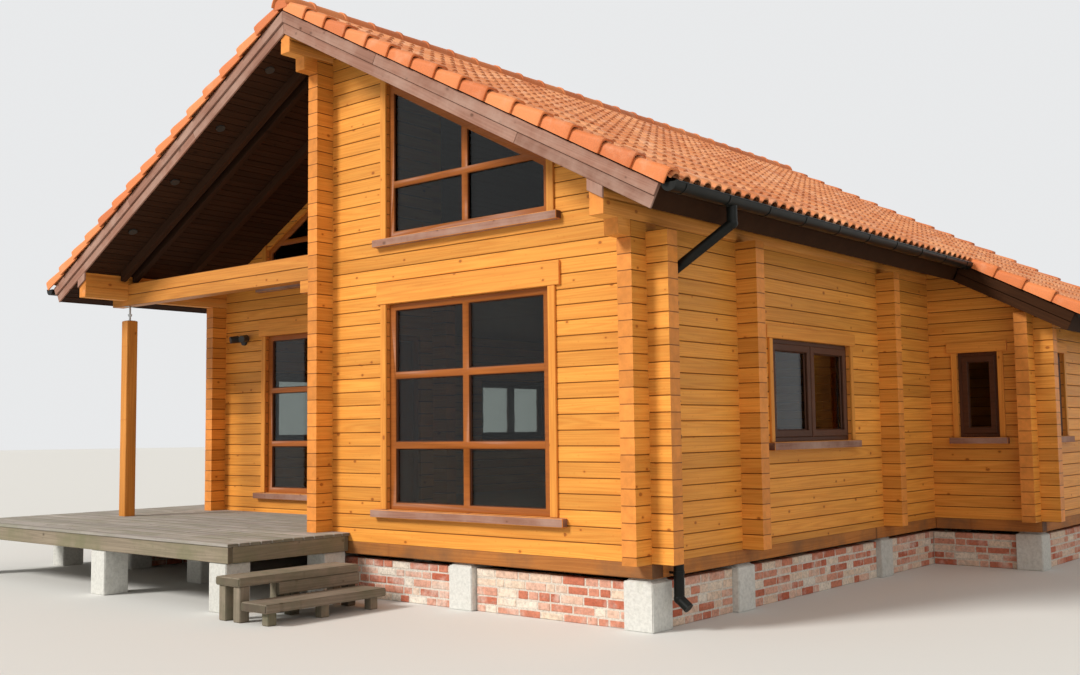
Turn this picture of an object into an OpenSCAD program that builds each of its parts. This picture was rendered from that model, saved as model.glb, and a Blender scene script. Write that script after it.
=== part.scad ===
// Log cabin with a recessed gable porch, a clay tile roof and a timber deck on piers.
// House frame: X = 0 on the outer face of the right wall, Y = 0 on the outer face of the
// front wall, Z = 0 on top of the sill beams. The whole is then centred over its footprint.

/* [Logs] */
// Thickness of the squared logs
log_t = 145; // [120:5:180]
// Height of one log course
course_h = 135; // [120:5:150]
// Length of the log ends past a crossing
stub_l = 210; // [150:10:260]
// Depth of the V-groove between two courses
groove_d = 8; // [4:1:12]

/* [House] */
// Width over the outer faces of the side walls
house_w = 8020; // [7600:10:8600]
// Length from the front wall to the back wall
house_l = 9300; // [8600:10:9900]
// Depth of the porch in front of its back wall
porch_d = 1450; // [1300:10:1700]
// Height of the sill beams
sill_h = 120; // [100:5:150]
// Height from the ground to the top of the sill beams
base_h = 550; // [450:10:700]
// Top of the built floors and of the deck
floor_z = 85; // [60:5:100]

/* [Wing] */
// Width of the side wing beyond the right wall
wing_w = 1210; // [1000:10:1300]
// Front face of the wing behind the front wall
wing_y = 5860; // [5600:10:6200]

/* [Roof] */
// Pitch of both slopes
pitch = 28.2; // [25:0.1:30]
// Height of the roof boarding's top at the ridge
apex_z = 5370; // [5200:10:5500]
// Depth of the roof boarding and rafters, square to the slope
pack_t = 204; // [160:2:220]
// Overhang of the roof boarding past the gable walls
gable_over = 570; // [450:10:650]
// Overhang of the roof boarding past the side walls, level
eaves_over = 525; // [450:5:600]
// Length of tile that shows in each course
tile_gauge = 345; // [320:1:345]

/* [Openings] */
// Width of the large windows
big_w = 2070; // [1900:10:2200]
// Sill of the large windows
big_z = 334; // [300:2:400]
// Height of the large windows
big_h = 2006; // [1900:2:2050]
// Sill of the casement windows
case_z = 945; // [900:5:1000]
// Height of the casement windows
case_h = 985; // [900:5:1050]
// Width of the two-light casement windows
case_w = 1650; // [1500:10:1800]

/* [Deck] */
// Right edge of the deck, measured from the right wall
deck_right = 3660; // [3560:10:3760]
// Left edge of the deck beyond the left wall
deck_side = 1100; // [900:10:1300]
// Front edge of the deck in front of the house
deck_front = 1450; // [1300:10:1600]
// End of the side strip of the deck behind the front wall
deck_back = 3000; // [2600:10:3400]

/* [Hidden] */

// Plan lines of the walls
ridge_x = -house_w / 2;
cross_x = ridge_x - log_t / 2;
left_in = log_t - house_w;
back_in = house_l - log_t;
rise = tan(pitch);
pack_v = pack_t / cos(pitch);
under_apex = apex_z - pack_v;
stub_2_y = 4420;
plate_z = 20.5 * course_h;
beam_z = 20 * course_h;
loft_z = 2640;
eps = 1;
// Fine joint left between pieces that only butt against each other
joint = 2;

// Windows: near edge of each opening along its wall
big_x = -3110;
porch_win_x = -6990;
side_win_y = 2030;
left_win_y = [2280, 6480];
back_win_x = [-6820, -2920];
wing_win_x = 330;
wing_win_w = 470;
wing_side_y = 6430;
frame_d = 70;
frame_in = 30;
// Depth of the bars in front of the glass, and how far the rebate stays inside the frame
bar_d = 26;
rebate = 45;
glass_t = 20;
trim_t = 22;
trim_w = 82;
case_trim_w = 66;
gable_z = 2990;
door_y = 330;
door_w = 930;
door_h = 2060;

// Roof tiles: level length of a course, and how far the lowest tiles pass the boarding
tile_run = tile_gauge * cos(pitch);
tile_past = 145;
main_rows = 15;
wing_rows = 4;
tile_x = eaves_over + tile_past;
wing_tile_x = tile_x + wing_rows * tile_run;
wing_deck_x = wing_tile_x - tile_past;
wing_over = 320;
verge_front = -gable_over - 85;
verge_back = house_l + gable_over + 85;
gutter_r = 70;
gutter_x = eaves_over + 120;
gutter_z = apex_z - rise * (eaves_over - ridge_x) - 20;
wing_gutter_x = gutter_x + wing_deck_x - eaves_over;
wing_gutter_z = gutter_z - rise * (wing_deck_x - eaves_over);

// Deck and steps
deck_l = -house_w - deck_side;
board_t = 30;
tread_l = 1360;
tread_t = 75;
plank_t = 40;
tread_d = 350;
upper_z = -165;
lower_z = -360;
step_y = -1680;
step_x = -3510;

// Outer box, used to centre the model over its footprint
box_x = [min(deck_l, -house_w - gutter_x - gutter_r), wing_gutter_x + gutter_r];
box_y = [min(-deck_front, step_y), verge_back];
centre = [-(box_x[0] + box_x[1]) / 2, -(box_y[0] + box_y[1]) / 2, base_h];

// Moves a piece from the house frame to the frame of the finished model
module placed() {
    translate(centre) children();
}

// A box given by its lowest and highest corners
module block(a, b) {
    translate(a) cube(b - a);
}

// Stands a flat outline in a wall along X, or along Y, at a depth behind its outer face
module in_wall_x(x, y, z, d) {
    translate([x, y + d, z])
        rotate([90, 0, 0])
            linear_extrude(d)
                children();
}

module in_wall_y(x, y, z, d) {
    translate([x, y, z])
        rotate([90, 0, 90])
            linear_extrude(d)
                children();
}

// Height of the roof boarding's top and underside over a point of the plan
function roof_top(x) = apex_z - rise * abs(x - ridge_x);
function roof_under(x) = under_apex - rise * abs(x - ridge_x);

// Heights of the joints between courses from z0 to z1, for a wall whose courses start
// at `start` of a course
function joints(z0, z1, start) = [
    for (k = [ceil(z0 / course_h - start) : floor(z1 / course_h - start)])
        let (z = (k + start) * course_h)
        if (z > z0 + groove_d && z < z1 - groove_d) z
];

// Outline of a stack of squared logs seen end on, with a V-groove at each joint
function stack_outline(z0, z1, start) = let (
    j = joints(z0, z1, start),
    n = len(j) - 1
) concat(
    [[0, z0]],
    [for (z = j) for (p = [[0, z - groove_d], [groove_d, z], [0, z + groove_d]]) p],
    [[0, z1], [log_t, z1]],
    [for (i = [n : -1 : 0]) for (p = [[log_t, j[i] + groove_d], [log_t - groove_d, j[i]],
        [log_t, j[i] - groove_d]]) p],
    [[log_t, z0]]
);

// Stack of logs along X, whose outer face is at y
module logs_x(x0, x1, y, z0, z1) {
    translate([x0, y, 0])
        rotate([90, 0, 90])
            linear_extrude(x1 - x0)
                polygon(stack_outline(z0, z1, 0));
}

// Stack of logs along Y, whose courses sit half a course higher, with its left face at x
module logs_y(y0, y1, x, z0, z1) {
    translate([x, y1, 0])
        rotate([90, 0, 0])
            linear_extrude(y1 - y0)
                polygon(stack_outline(z0, z1, 0.5));
}

// Half-lap notches that a wall along X loses where a wall along Y crosses it
module notches_x(x, y, top) {
    for (k = [0 : floor(top / course_h) + 1])
        block([x, y - eps, (k - 0.25) * course_h], [x + log_t, y + log_t + eps,
            (k + 0.25) * course_h]);
}

// Half-lap notches that a wall along Y loses where a wall along X crosses it
module notches_y(x, y, top) {
    for (k = [0 : floor(top / course_h)])
        block([x - eps, y, (k + 0.25) * course_h], [x + log_t + eps, y + log_t,
            (k + 0.75) * course_h]);
}

// Seat of the ridge beam in a gable wall
module ridge_seat(y) {
    block([cross_x, y - eps, under_apex - 200], [cross_x + log_t, y + log_t + eps, apex_z]);
}

// Everything above the underside of the roof, which the gable walls lose
module above_roof(y0, y1, drop = 0) {
    reach = house_w;
    translate([0, y1, 0])
        rotate([90, 0, 0])
            linear_extrude(y1 - y0)
                polygon([
                    [ridge_x, under_apex - drop],
                    [ridge_x + reach, under_apex - drop - rise * reach],
                    [ridge_x + reach, apex_z + 500],
                    [ridge_x - reach, apex_z + 500],
                    [ridge_x - reach, under_apex - drop - rise * reach]
                ]);
}

// Outline of a gable window, whose head follows the roof on its side of the ridge
module gable_outline(x, inset = 0) {
    x0 = x + inset;
    x1 = x + big_w - inset;
    drop = 80 + inset / cos(pitch);
    polygon([
        [x0, gable_z + inset],
        [x1, gable_z + inset],
        [x1, roof_under(x1) - drop],
        [x0, roof_under(x0) - drop]
    ]);
}

// Rows of piers across and along the house
pier = 290;
pier_top = -sill_h - 30;
pier_x = [-house_w + 5, -house_w + 2020, ridge_x - pier / 2, -2290, -pier - 5];
pier_y = [5, 1345, 4350, 6980, house_l - pier - 5];

// Cast pier with a packer on top that takes up the last gap under the sill beam
module house_pier(x, y) {
    block([x, y, -base_h], [x + pier, y + pier, pier_top]);
    block([x + 30, y + 30, pier_top], [x + pier - 30, y + pier - 30, -sill_h - joint]);
}

module house_piers() {
    color("lightgray") placed() {
        for (x = [pier_x[0], pier_x[4]])
            for (y = pier_y)
                house_pier(x, y);
        for (x = [pier_x[1], pier_x[2], pier_x[3]])
            for (y = [pier_y[0], pier_y[1], pier_y[2], pier_y[4]])
                house_pier(x, y);
        for (y = [wing_y + 5, pier_y[4]])
            house_pier(wing_w - pier - 5, y);
    }
}

// Salvaged brick infill between the piers, one brick thick
module brick_plinth() {
    color("rosybrown") placed() {
        t = 115;
        top = -sill_h - 45;
        for (i = [2, 3])
            block([pier_x[i] + pier + 5, 60, -base_h], [pier_x[i + 1] - 5, 60 + t, top]);
        for (i = [0 : 2])
            block([-60 - t, pier_y[i] + pier + 5, -base_h], [-60, pier_y[i + 1] - 5, top]);
        block([-60, wing_y + 60, -base_h], [wing_w - 300, wing_y + 60 + t, top]);
        block([wing_w - 60 - t, wing_y + 300, -base_h], [wing_w - 60, pier_y[4] - 5, top]);
        for (i = [0 : 3])
            block([-house_w + 60, pier_y[i] + pier + 5, -base_h],
                [-house_w + 60 + t, pier_y[i + 1] - 5, top]);
        for (i = [0 : 3])
            block([pier_x[i] + pier + 5, house_l - 60 - t, -base_h],
                [pier_x[i + 1] - 5, house_l - 60, top]);
        block([0, house_l - 60 - t, -base_h], [wing_w - pier - 10, house_l - 60, top]);
    }
}

module sill_beams() {
    color("rosybrown") placed() {
        proud = 8;
        low = -sill_h;
        w = log_t + proud;
        // Front, cross and back beams
        block([left_in + joint, -proud, low], [proud, log_t, 0]);
        block([left_in + joint, porch_d, low], [-w, porch_d + log_t, 0]);
        block([left_in + joint, back_in, low], [wing_w + proud, house_l + proud, 0]);
        block([left_in + joint, stub_2_y, low], [-w, stub_2_y + log_t, 0]);
        block([proud, wing_y - proud, low], [wing_w + proud, wing_y + log_t, 0]);
        // Side beams between them
        block([-log_t, log_t + joint, low], [proud - joint, back_in - joint, 0]);
        block([-house_w - proud, -proud, low], [left_in, house_l + proud, 0]);
        block([wing_w - log_t, wing_y + log_t + joint, low],
            [wing_w + proud, back_in - joint, 0]);
    }
}

module ground_floor() {
    color("peru") placed() {
        block([left_in, porch_d + log_t, 0], [cross_x + log_t, back_in, floor_z]);
        block([cross_x + log_t + joint, log_t, 0], [-log_t, back_in, floor_z]);
        block([-log_t + joint, wing_y + log_t, 0], [wing_w - log_t, back_in, floor_z]);
    }
}

// Floor of the loft behind the porch and the front wall
module loft_floor() {
    color("burlywood") placed() {
        block([left_in, porch_d + log_t, loft_z], [cross_x + log_t, back_in, loft_z + 120]);
        block([cross_x + log_t + joint, log_t, loft_z], [-log_t, back_in, loft_z + 120]);
    }
}

module front_wall() {
    color("orange") placed() difference() {
        logs_x(cross_x, stub_l, 0, 0, apex_z);
        above_roof(-eps, log_t + eps);
        block([0, -eps, plate_z - course_h / 2], [stub_l + eps, log_t + eps, apex_z]);
        notches_x(cross_x, 0, under_apex - 200);
        ridge_seat(0);
        notches_x(-log_t, 0, plate_z);
        block([big_x, -eps, big_z], [big_x + big_w, log_t + eps, big_z + big_h]);
        in_wall_x(0, -eps, 0, log_t + 2 * eps) gable_outline(big_x);
        block([-log_t, -eps, plate_z], [eps, log_t + eps, apex_z]);
    }
}

module porch_side_wall() {
    color("darkorange") placed() difference() {
        logs_y(-stub_l, porch_d + log_t, cross_x, 0, under_apex - 200);
        notches_y(cross_x, 0, under_apex - 200);
        notches_y(cross_x, porch_d, under_apex - 200);
        block([cross_x - eps, door_y, floor_z],
            [cross_x + log_t + eps, door_y + door_w, floor_z + door_h]);
    }
}

module porch_back_wall() {
    color("darkorange") placed() difference() {
        logs_x(-house_w - stub_l, cross_x + log_t + stub_l, porch_d, 0, under_apex);
        above_roof(porch_d - eps, porch_d + log_t + eps);
        block([-house_w - stub_l - eps, porch_d - eps, plate_z - course_h / 2],
            [-house_w, porch_d + log_t + eps, apex_z]);
        notches_x(-house_w, porch_d, plate_z);
        notches_x(cross_x, porch_d, under_apex - 200);
        ridge_seat(porch_d);
        block([cross_x + log_t, porch_d - eps, plate_z - course_h],
            [cross_x + log_t + stub_l + eps, porch_d + log_t + eps, apex_z]);
        block([porch_win_x, porch_d - eps, big_z],
            [porch_win_x + big_w, porch_d + log_t + eps, big_z + big_h]);
        block([-house_w - eps, porch_d - eps, plate_z], [left_in, porch_d + log_t + eps, apex_z]);
        in_wall_x(0, porch_d - eps, 0, log_t + 2 * eps) gable_outline(porch_win_x);
    }
}

module left_wall() {
    color("sienna") placed() difference() {
        logs_y(porch_d - stub_l, house_l + stub_l, -house_w, 0, plate_z);
        notches_y(-house_w, porch_d, plate_z);
        notches_y(-house_w, stub_2_y, plate_z);
        notches_y(-house_w, back_in, plate_z);
        for (y = left_win_y)
            block([-house_w - eps, y, case_z], [left_in + eps, y + case_w, case_z + case_h]);
    }
}

module right_wall() {
    color("sienna") placed() difference() {
        logs_y(-stub_l, wing_y + log_t + stub_l, -log_t, 0, plate_z);
        notches_y(-log_t, 0, plate_z);
        notches_y(-log_t, porch_d - 30, plate_z);
        notches_y(-log_t, stub_2_y, plate_z);
        notches_y(-log_t, wing_y, plate_z);
        block([-log_t - eps, side_win_y, case_z], [eps, side_win_y + case_w, case_z + case_h]);
    }
}

module back_wall() {
    color("sienna") placed() difference() {
        logs_x(-house_w - stub_l, wing_w + stub_l, back_in, 0, under_apex);
        above_roof(back_in - eps, house_l + eps);
        block([-house_w - stub_l - eps, back_in - eps, plate_z - course_h / 2],
            [-house_w, house_l + eps, apex_z]);
        notches_x(-house_w, back_in, plate_z);
        ridge_seat(back_in);
        notches_x(wing_w - log_t, back_in, roof_under(wing_w));
        block([-house_w - eps, back_in - eps, plate_z], [left_in, house_l + eps, apex_z]);
        block([-log_t, back_in - eps, plate_z], [0, house_l + eps, apex_z]);
        for (x = back_win_x)
            block([x, back_in - eps, case_z], [x + case_w, house_l + eps, case_z + case_h]);
    }
}

module wing_front_wall() {
    color("chocolate") placed() difference() {
        logs_x(-log_t - stub_l, wing_w + stub_l, wing_y, 0, plate_z + course_h);
        above_roof(wing_y - eps, wing_y + log_t + eps);
        notches_x(-log_t, wing_y, plate_z);
        notches_x(wing_w - log_t, wing_y, roof_under(wing_w));
        block([-log_t - stub_l - eps, wing_y - eps, plate_z], [0, wing_y + log_t + eps, apex_z]);
        block([wing_win_x, wing_y - eps, case_z],
            [wing_win_x + wing_win_w, wing_y + log_t + eps, case_z + case_h]);
    }
}

module wing_side_wall() {
    color("sienna") placed() difference() {
        logs_y(wing_y - stub_l, house_l + stub_l, wing_w - log_t, 0, roof_under(wing_w));
        notches_y(wing_w - log_t, wing_y, roof_under(wing_w));
        notches_y(wing_w - log_t, back_in, roof_under(wing_w));
        block([wing_w - log_t - eps, wing_side_y, case_z],
            [wing_w + eps, wing_side_y + wing_win_w, case_z + case_h]);
    }
}

// Ends of the inner cross walls where they pass through the side walls
module cross_wall_stubs() {
    color("chocolate") placed() {
        for (y = [porch_d - 30, stub_2_y])
            difference() {
                logs_x(-log_t - stub_l, stub_l, y, 0, plate_z);
                notches_x(-log_t, y, plate_z);
            }
        difference() {
            logs_x(-house_w - stub_l, left_in + stub_l, stub_2_y, 0, plate_z);
            notches_x(-house_w, stub_2_y, plate_z);
        }
    }
}

// Two-log beam over the open front of the porch, with the log end that carries it. Its
// lower log runs on under the plate and past it.
module porch_beam() {
    color("orange") placed() {
        logs_x(left_in, cross_x, 0, beam_z, beam_z + 2 * course_h);
        block([cross_x - 390, 0, beam_z - course_h], [cross_x, log_t, beam_z]);
        block([-house_w - stub_l, 0, beam_z], [left_in, log_t, plate_z - joint]);
        block([-house_w - stub_l, 0, beam_z], [-house_w - joint, log_t, beam_z + course_h]);
    }
}

// Log along the roof with its top cut to the slope, from the front gable to the back one
module purlin(x, z, top) {
    front = -gable_over + joint;
    back = house_l + gable_over - joint;
    difference() {
        logs_y(front, back, x, z, top);
        above_roof(front - eps, back + eps);
    }
}

// Plate logs on the side walls and the ridge beam, with shorter log ends as corbels
module roof_purlins() {
    reach = gable_over - 190;
    color("chocolate") placed() {
        purlin(-house_w, plate_z, plate_z + 3 * course_h);
        block([-house_w, house_l + stub_l, plate_z - course_h],
            [left_in, house_l + reach, plate_z]);
        purlin(-log_t, plate_z, plate_z + 3 * course_h);
        block([-log_t, -reach, plate_z - course_h], [0, -stub_l, plate_z]);
        block([-log_t, house_l + stub_l, plate_z - course_h], [0, house_l + reach, plate_z]);
        purlin(cross_x, under_apex - 200, under_apex);
        block([cross_x, -reach, under_apex - 200 - course_h],
            [cross_x + log_t, -stub_l, under_apex - 200]);
        block([cross_x, house_l, under_apex - 200 - course_h],
            [cross_x + log_t, house_l + reach, under_apex - 200]);
    }
}

// Rafters that show under the boarding over the open porch
module porch_rafters() {
    depth = 113;
    x0 = left_in + 60;
    x1 = cross_x - joint;
    color("saddlebrown") placed()
        for (y = [-140, 20, 700])
            in_wall_x(0, y, 0, 75)
                polygon([
                    [x0, roof_under(x0)],
                    [x1, roof_under(x1)],
                    [x1, roof_under(x1) - depth],
                    [x0, roof_under(x0) - depth]
                ]);
}

// Post under the outer corner of the porch beam, on the deck
post_top = beam_z - 185;
post_c = [-house_w + log_t / 2, log_t / 2];

module porch_post() {
    color("peru") placed()
        block([post_c[0] - 70, post_c[1] - 70, floor_z], [post_c[0] + 70, post_c[1] + 70, post_top]);
}

// Screw jack that takes up the settling of the logs over the post
module post_jack() {
    color("silver") placed()
        translate([post_c[0], post_c[1], post_top]) {
            translate([-50, -50, 0]) cube([100, 100, 6]);
            cylinder(h = 180, d = 24, $fn = 32);
            translate([0, 0, 60]) cylinder(h = 20, d = 46, $fn = 6);
            translate([0, 0, 80]) cylinder(h = 5, d = 56, $fn = 32);
            translate([-50, -50, 179]) cube([100, 100, 6]);
        }
}

// Sloping slab between two level distances from the ridge, square-cut at its lower end
module slope_slab(side, run0, run1, lift, t, y0, y1) {
    translate([ridge_x, y1, 0])
        rotate([90, 0, 0])
            linear_extrude(y1 - y0)
                mirror([side < 0 ? 1 : 0, 0, 0])
                    polygon([
                        [run0, apex_z + lift - rise * run0],
                        [run1, apex_z + lift - rise * run1],
                        [run1 - t * sin(pitch), apex_z + lift - rise * run1 - t * cos(pitch)],
                        [run0, apex_z + lift - rise * run0 - t / cos(pitch)]
                    ]);
}

module left_roof_boarding() {
    color("saddlebrown") placed()
        slope_slab(-1, 0, eaves_over - ridge_x, 0, pack_t, -gable_over, house_l + gable_over);
}

module right_roof_boarding() {
    color("saddlebrown") placed()
        slope_slab(1, 0, eaves_over - ridge_x, 0, pack_t, -gable_over, house_l + gable_over);
}

module wing_roof_boarding() {
    color("saddlebrown") placed()
        slope_slab(1, eaves_over - ridge_x, wing_deck_x - ridge_x, 0, pack_t,
            wing_y - wing_over, house_l + gable_over);
}

// One course of tiles in section: its nose laps the course below
module tile_section(nose) {
    head = nose - tile_run - 70;
    t = 18;
    low = 95;
    high = 72;
    polygon([
        [nose, apex_z - rise * nose + low],
        [nose, apex_z - rise * nose + low + t],
        [head, apex_z - rise * head + high + t],
        [head, apex_z - rise * head + high]
    ]);
}

// Courses of tiles down one slope, from the lowest nose at `run` upwards
module tile_courses(side, run, rows, y0, y1) {
    translate([ridge_x, y1, 0])
        rotate([90, 0, 0])
            linear_extrude(y1 - y0)
                mirror([side < 0 ? 1 : 0, 0, 0])
                    for (i = [0 : rows - 1])
                        tile_section(run - i * tile_run);
}

module left_roof_tiles() {
    color("coral") placed()
        tile_courses(-1, tile_x - ridge_x, main_rows, verge_front + 30, verge_back - 30);
}

module right_roof_tiles() {
    color("coral") placed()
        tile_courses(1, tile_x - ridge_x, main_rows, verge_front + 30, verge_back - 30);
}

module wing_roof_tiles() {
    color("coral") placed()
        tile_courses(1, wing_tile_x - ridge_x, wing_rows, wing_y - wing_over - 55,
            verge_back - 30);
}

// Battens and counter-battens that carry the tiles, as one piece to each course
module tile_battens() {
    t = 60;
    lift = t / cos(pitch);
    color("tan") placed() {
        for (side = [-1, 1])
            for (i = [1 : main_rows])
                let (run = tile_x - ridge_x - i * tile_run)
                    slope_slab(side, run - 10, run + 40, lift, t, -gable_over,
                        house_l + gable_over);
        for (i = [1 : wing_rows])
            let (run = wing_tile_x - ridge_x - i * tile_run)
                slope_slab(1, run - 10, run + 40, lift, t, wing_y - wing_over,
                    house_l + gable_over);
    }
}

// Half-round ridge caps, each with a collar over the next
module ridge_tiles() {
    cap_l = (verge_back - verge_front) / 26;
    r = 125;
    color("salmon") placed()
        translate([ridge_x, verge_back, apex_z + 45])
            rotate([90, 0, 0])
                difference() {
                    union() {
                        cylinder(h = verge_back - verge_front, r = r, $fn = 48);
                        for (i = [0 : 25])
                            translate([0, 0, i * cap_l])
                                cylinder(h = 45, r = r + 12, $fn = 48);
                    }
                    translate([0, 0, -eps])
                        cylinder(h = verge_back - verge_front + 2 * eps, r = r - 16, $fn = 48);
                    translate([-300, -295, -eps])
                        cube([600, 300, verge_back - verge_front + 2 * eps]);
                }
}

// Outline of the verge tiles down one slope, each with its nose over the next one's head
module verge_steps(run, rows) {
    for (i = [0 : rows - 1]) {
        nose = run - i * tile_run;
        head = max(nose - tile_run - 30, 118);
        polygon([
            [nose - 45, apex_z - rise * nose + 15],
            [nose, apex_z - rise * nose + 165],
            [head, apex_z - rise * head + 137],
            [head, apex_z - rise * head - 5]
        ]);
    }
}

// Upper side of the same tiles, which laps over the edge of the roof
module verge_flanges(run, rows) {
    for (i = [0 : rows - 1]) {
        nose = run - i * tile_run;
        head = max(nose - tile_run - 30, 118);
        polygon([
            [nose, apex_z - rise * nose + 145],
            [nose, apex_z - rise * nose + 165],
            [head, apex_z - rise * head + 137],
            [head, apex_z - rise * head + 117]
        ]);
    }
}

// Verge tiles down one slope: outer face `y` to y + 30, flange on its `inward` side
module verge(side, run, rows, y, inward) {
    translate([ridge_x, y + 30, 0])
        rotate([90, 0, 0])
            linear_extrude(30)
                mirror([side < 0 ? 1 : 0, 0, 0])
                    verge_steps(run, rows);
    translate([ridge_x, inward > 0 ? y + 155 : y + 30, 0])
        rotate([90, 0, 0])
            linear_extrude(155)
                mirror([side < 0 ? 1 : 0, 0, 0])
                    verge_flanges(run, rows);
}

module verge_tiles() {
    color("darkorange") placed() {
        for (side = [-1, 1]) {
            verge(side, tile_x - ridge_x, main_rows, verge_front, 1);
            verge(side, tile_x - ridge_x, main_rows, verge_back - 30, -1);
        }
        verge(1, wing_tile_x - ridge_x, wing_rows, wing_y - wing_over - 85, 1);
        verge(1, wing_tile_x - ridge_x, wing_rows, verge_back - 30, -1);
    }
}

// Two-layer barge board on one slope: a full board behind and a narrower one before it
module barge(side, run0, run1, y, out) {
    t = 20;
    y0 = out < 0 ? y - t : y;
    y1 = out < 0 ? y - 2 * t : y + t;
    slope_slab(side, run0, run1 + 25, 0, pack_t, y0, y0 + t);
    slope_slab(side, run0, run1 + 25, 0, pack_t / 2, y1, y1 + t);
}

// Small cover board over the end of a purlin, hung below the barge board
module purlin_cover(x, y) {
    x0 = x - 6;
    x1 = x + log_t + 6;
    in_wall_x(0, y, 0, 20)
        polygon([
            [x0, roof_under(x0) - joint],
            [x1, roof_under(x1) - joint],
            [x1, roof_under(x1) - 97],
            [x0, roof_under(x0) - 97]
        ]);
}

module barge_boards() {
    color("rosybrown") placed() {
        for (side = [-1, 1])
            barge(side, joint / 2, eaves_over - ridge_x, -gable_over, -1);
        barge(-1, joint / 2, eaves_over - ridge_x, house_l + gable_over, 1);
        barge(1, joint / 2, wing_deck_x - ridge_x, house_l + gable_over, 1);
        for (x = [-house_w, -log_t]) {
            purlin_cover(x, -gable_over - 20);
            purlin_cover(x, house_l + gable_over);
        }
        barge(1, eaves_over + 25 - ridge_x, wing_deck_x - ridge_x, wing_y - wing_over, -1);
    }
}

// Board across the rafter ends, square to the slope
module eaves_board(side, run, y0, y1) {
    translate([ridge_x, y1, 0])
        rotate([90, 0, 0])
            linear_extrude(y1 - y0)
                mirror([side < 0 ? 1 : 0, 0, 0])
                    translate([run, apex_z - rise * run])
                        rotate(-pitch)
                            translate([0, -pack_t])
                                square([22, pack_t]);
}

module eaves_boards() {
    color("rosybrown") placed() {
        eaves_board(-1, eaves_over - ridge_x, -gable_over, house_l + gable_over);
        eaves_board(1, eaves_over - ridge_x, -gable_over, wing_y - wing_over - 45);
        eaves_board(1, wing_deck_x - ridge_x, wing_y - wing_over, house_l + gable_over);
    }
}

// Half-round gutter with closed ends along Y
module gutter(x, z, y0, y1) {
    wall = 4;
    translate([x, y1, z])
        rotate([90, 0, 0])
            difference() {
                cylinder(h = y1 - y0, r = gutter_r, $fn = 48);
                translate([0, 0, wall])
                    cylinder(h = y1 - y0 - 2 * wall, r = gutter_r - wall, $fn = 48);
                translate([-100, 0, -eps])
                    cube([200, 100, y1 - y0 + 2 * eps]);
            }
}

module gutters() {
    color("black") placed() {
        gutter(gutter_x, gutter_z, -gable_over - 45, wing_y - wing_over - 95);
        gutter(-house_w - gutter_x, gutter_z, -gable_over - 45, house_l + gable_over + 45);
        gutter(wing_gutter_x, wing_gutter_z, wing_y - wing_over - 45,
            house_l + gable_over + 45);
    }
}

// Round pipe through a list of points, with a slightly fuller socket at each bend
module pipe(points, d) {
    for (i = [0 : len(points) - 2]) {
        a = points[i];
        v = points[i + 1] - a;
        len_v = norm(v);
        translate(a)
            rotate([0, acos(v[2] / len_v), atan2(v[1], v[0])])
                cylinder(h = len_v, d = d, $fn = 32);
        if (i > 0)
            translate(a) sphere(d = d + 8, $fn = 32);
    }
}

// Downpipe from a gutter outlet to the wall and down to a shoe over the ground
module downpipe(x, z, wall_x, y_top, y_wall, side) {
    difference() {
        pipe([
            [x, y_top, z - gutter_r + 25],
            [x, y_top, z - gutter_r - 130],
            [wall_x, y_wall, z - gutter_r - 470],
            [wall_x, y_wall, -base_h + 260],
            [wall_x + side * 90, y_wall, -base_h + 190]
        ], 87);
        translate([x, y_top + 100, z])
            rotate([90, 0, 0])
                cylinder(h = 200, r = gutter_r, $fn = 48);
    }
}

module downpipes() {
    color("black") placed() {
        downpipe(gutter_x, gutter_z, 95, 285, 240, 1);
        downpipe(-house_w - gutter_x, gutter_z, -house_w - 95, house_l - 240, house_l - 260, -1);
        downpipe(wing_gutter_x, wing_gutter_z, wing_w + 95, house_l - 240, house_l - 260, 1);
    }
}

// Flat window frame seen from outside: outer size, widths of its upright and level edges,
// the bars' centres, and the widths of the upright and level bars
module frame_plate(w, h, edge, cols, rows, bar) {
    difference() {
        square([w, h]);
        xs = concat([edge[0] - bar[0] / 2], cols, [w - edge[0] + bar[0] / 2]);
        zs = concat([edge[1] - bar[1] / 2], rows, [h - edge[1] + bar[1] / 2]);
        for (i = [0 : len(xs) - 2])
            for (j = [0 : len(zs) - 2])
                translate([xs[i] + bar[0] / 2, zs[j] + bar[1] / 2])
                    square([xs[i + 1] - xs[i] - bar[0], zs[j + 1] - zs[j] - bar[1]]);
    }
}

// Frame with a rebate behind its bars, which the glass fills from inside
module window_frame(w, h, edge, cols, rows, bar) {
    difference() {
        in_wall_x(0, frame_in, 0, frame_d) frame_plate(w, h, edge, cols, rows, bar);
        translate([rebate, frame_in + bar_d, rebate])
            cube([w - 2 * rebate, frame_d, h - 2 * rebate]);
    }
}

// Sheet of glass that fits in the rebate of a frame
module pane(w, h) {
    in = rebate + joint;
    translate([in, frame_in + bar_d, in]) cube([w - 2 * in, glass_t, h - 2 * in]);
}

// The place of each kind of window, seen from outside with its sill at the lower left
module at_large_windows() {
    translate([big_x, 0, big_z]) children();
    translate([porch_win_x, porch_d, big_z]) children();
}

module at_wide_casements() {
    translate([0, side_win_y, case_z]) rotate([0, 0, 90]) children();
    for (y = left_win_y)
        translate([-house_w, y + case_w, case_z]) rotate([0, 0, -90]) children();
    for (x = back_win_x)
        translate([x + case_w, house_l, case_z]) rotate([0, 0, 180]) children();
}

module at_narrow_casements() {
    translate([wing_win_x, wing_y, case_z]) children();
    translate([wing_w, wing_side_y, case_z]) rotate([0, 0, 90]) children();
}

// The window behind the front wall and the like one behind the porch
module large_windows() {
    color("brown") placed() at_large_windows()
        window_frame(big_w, big_h, [90, 65], [big_w / 2], [620, 1300], [82, 66]);
}

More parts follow.
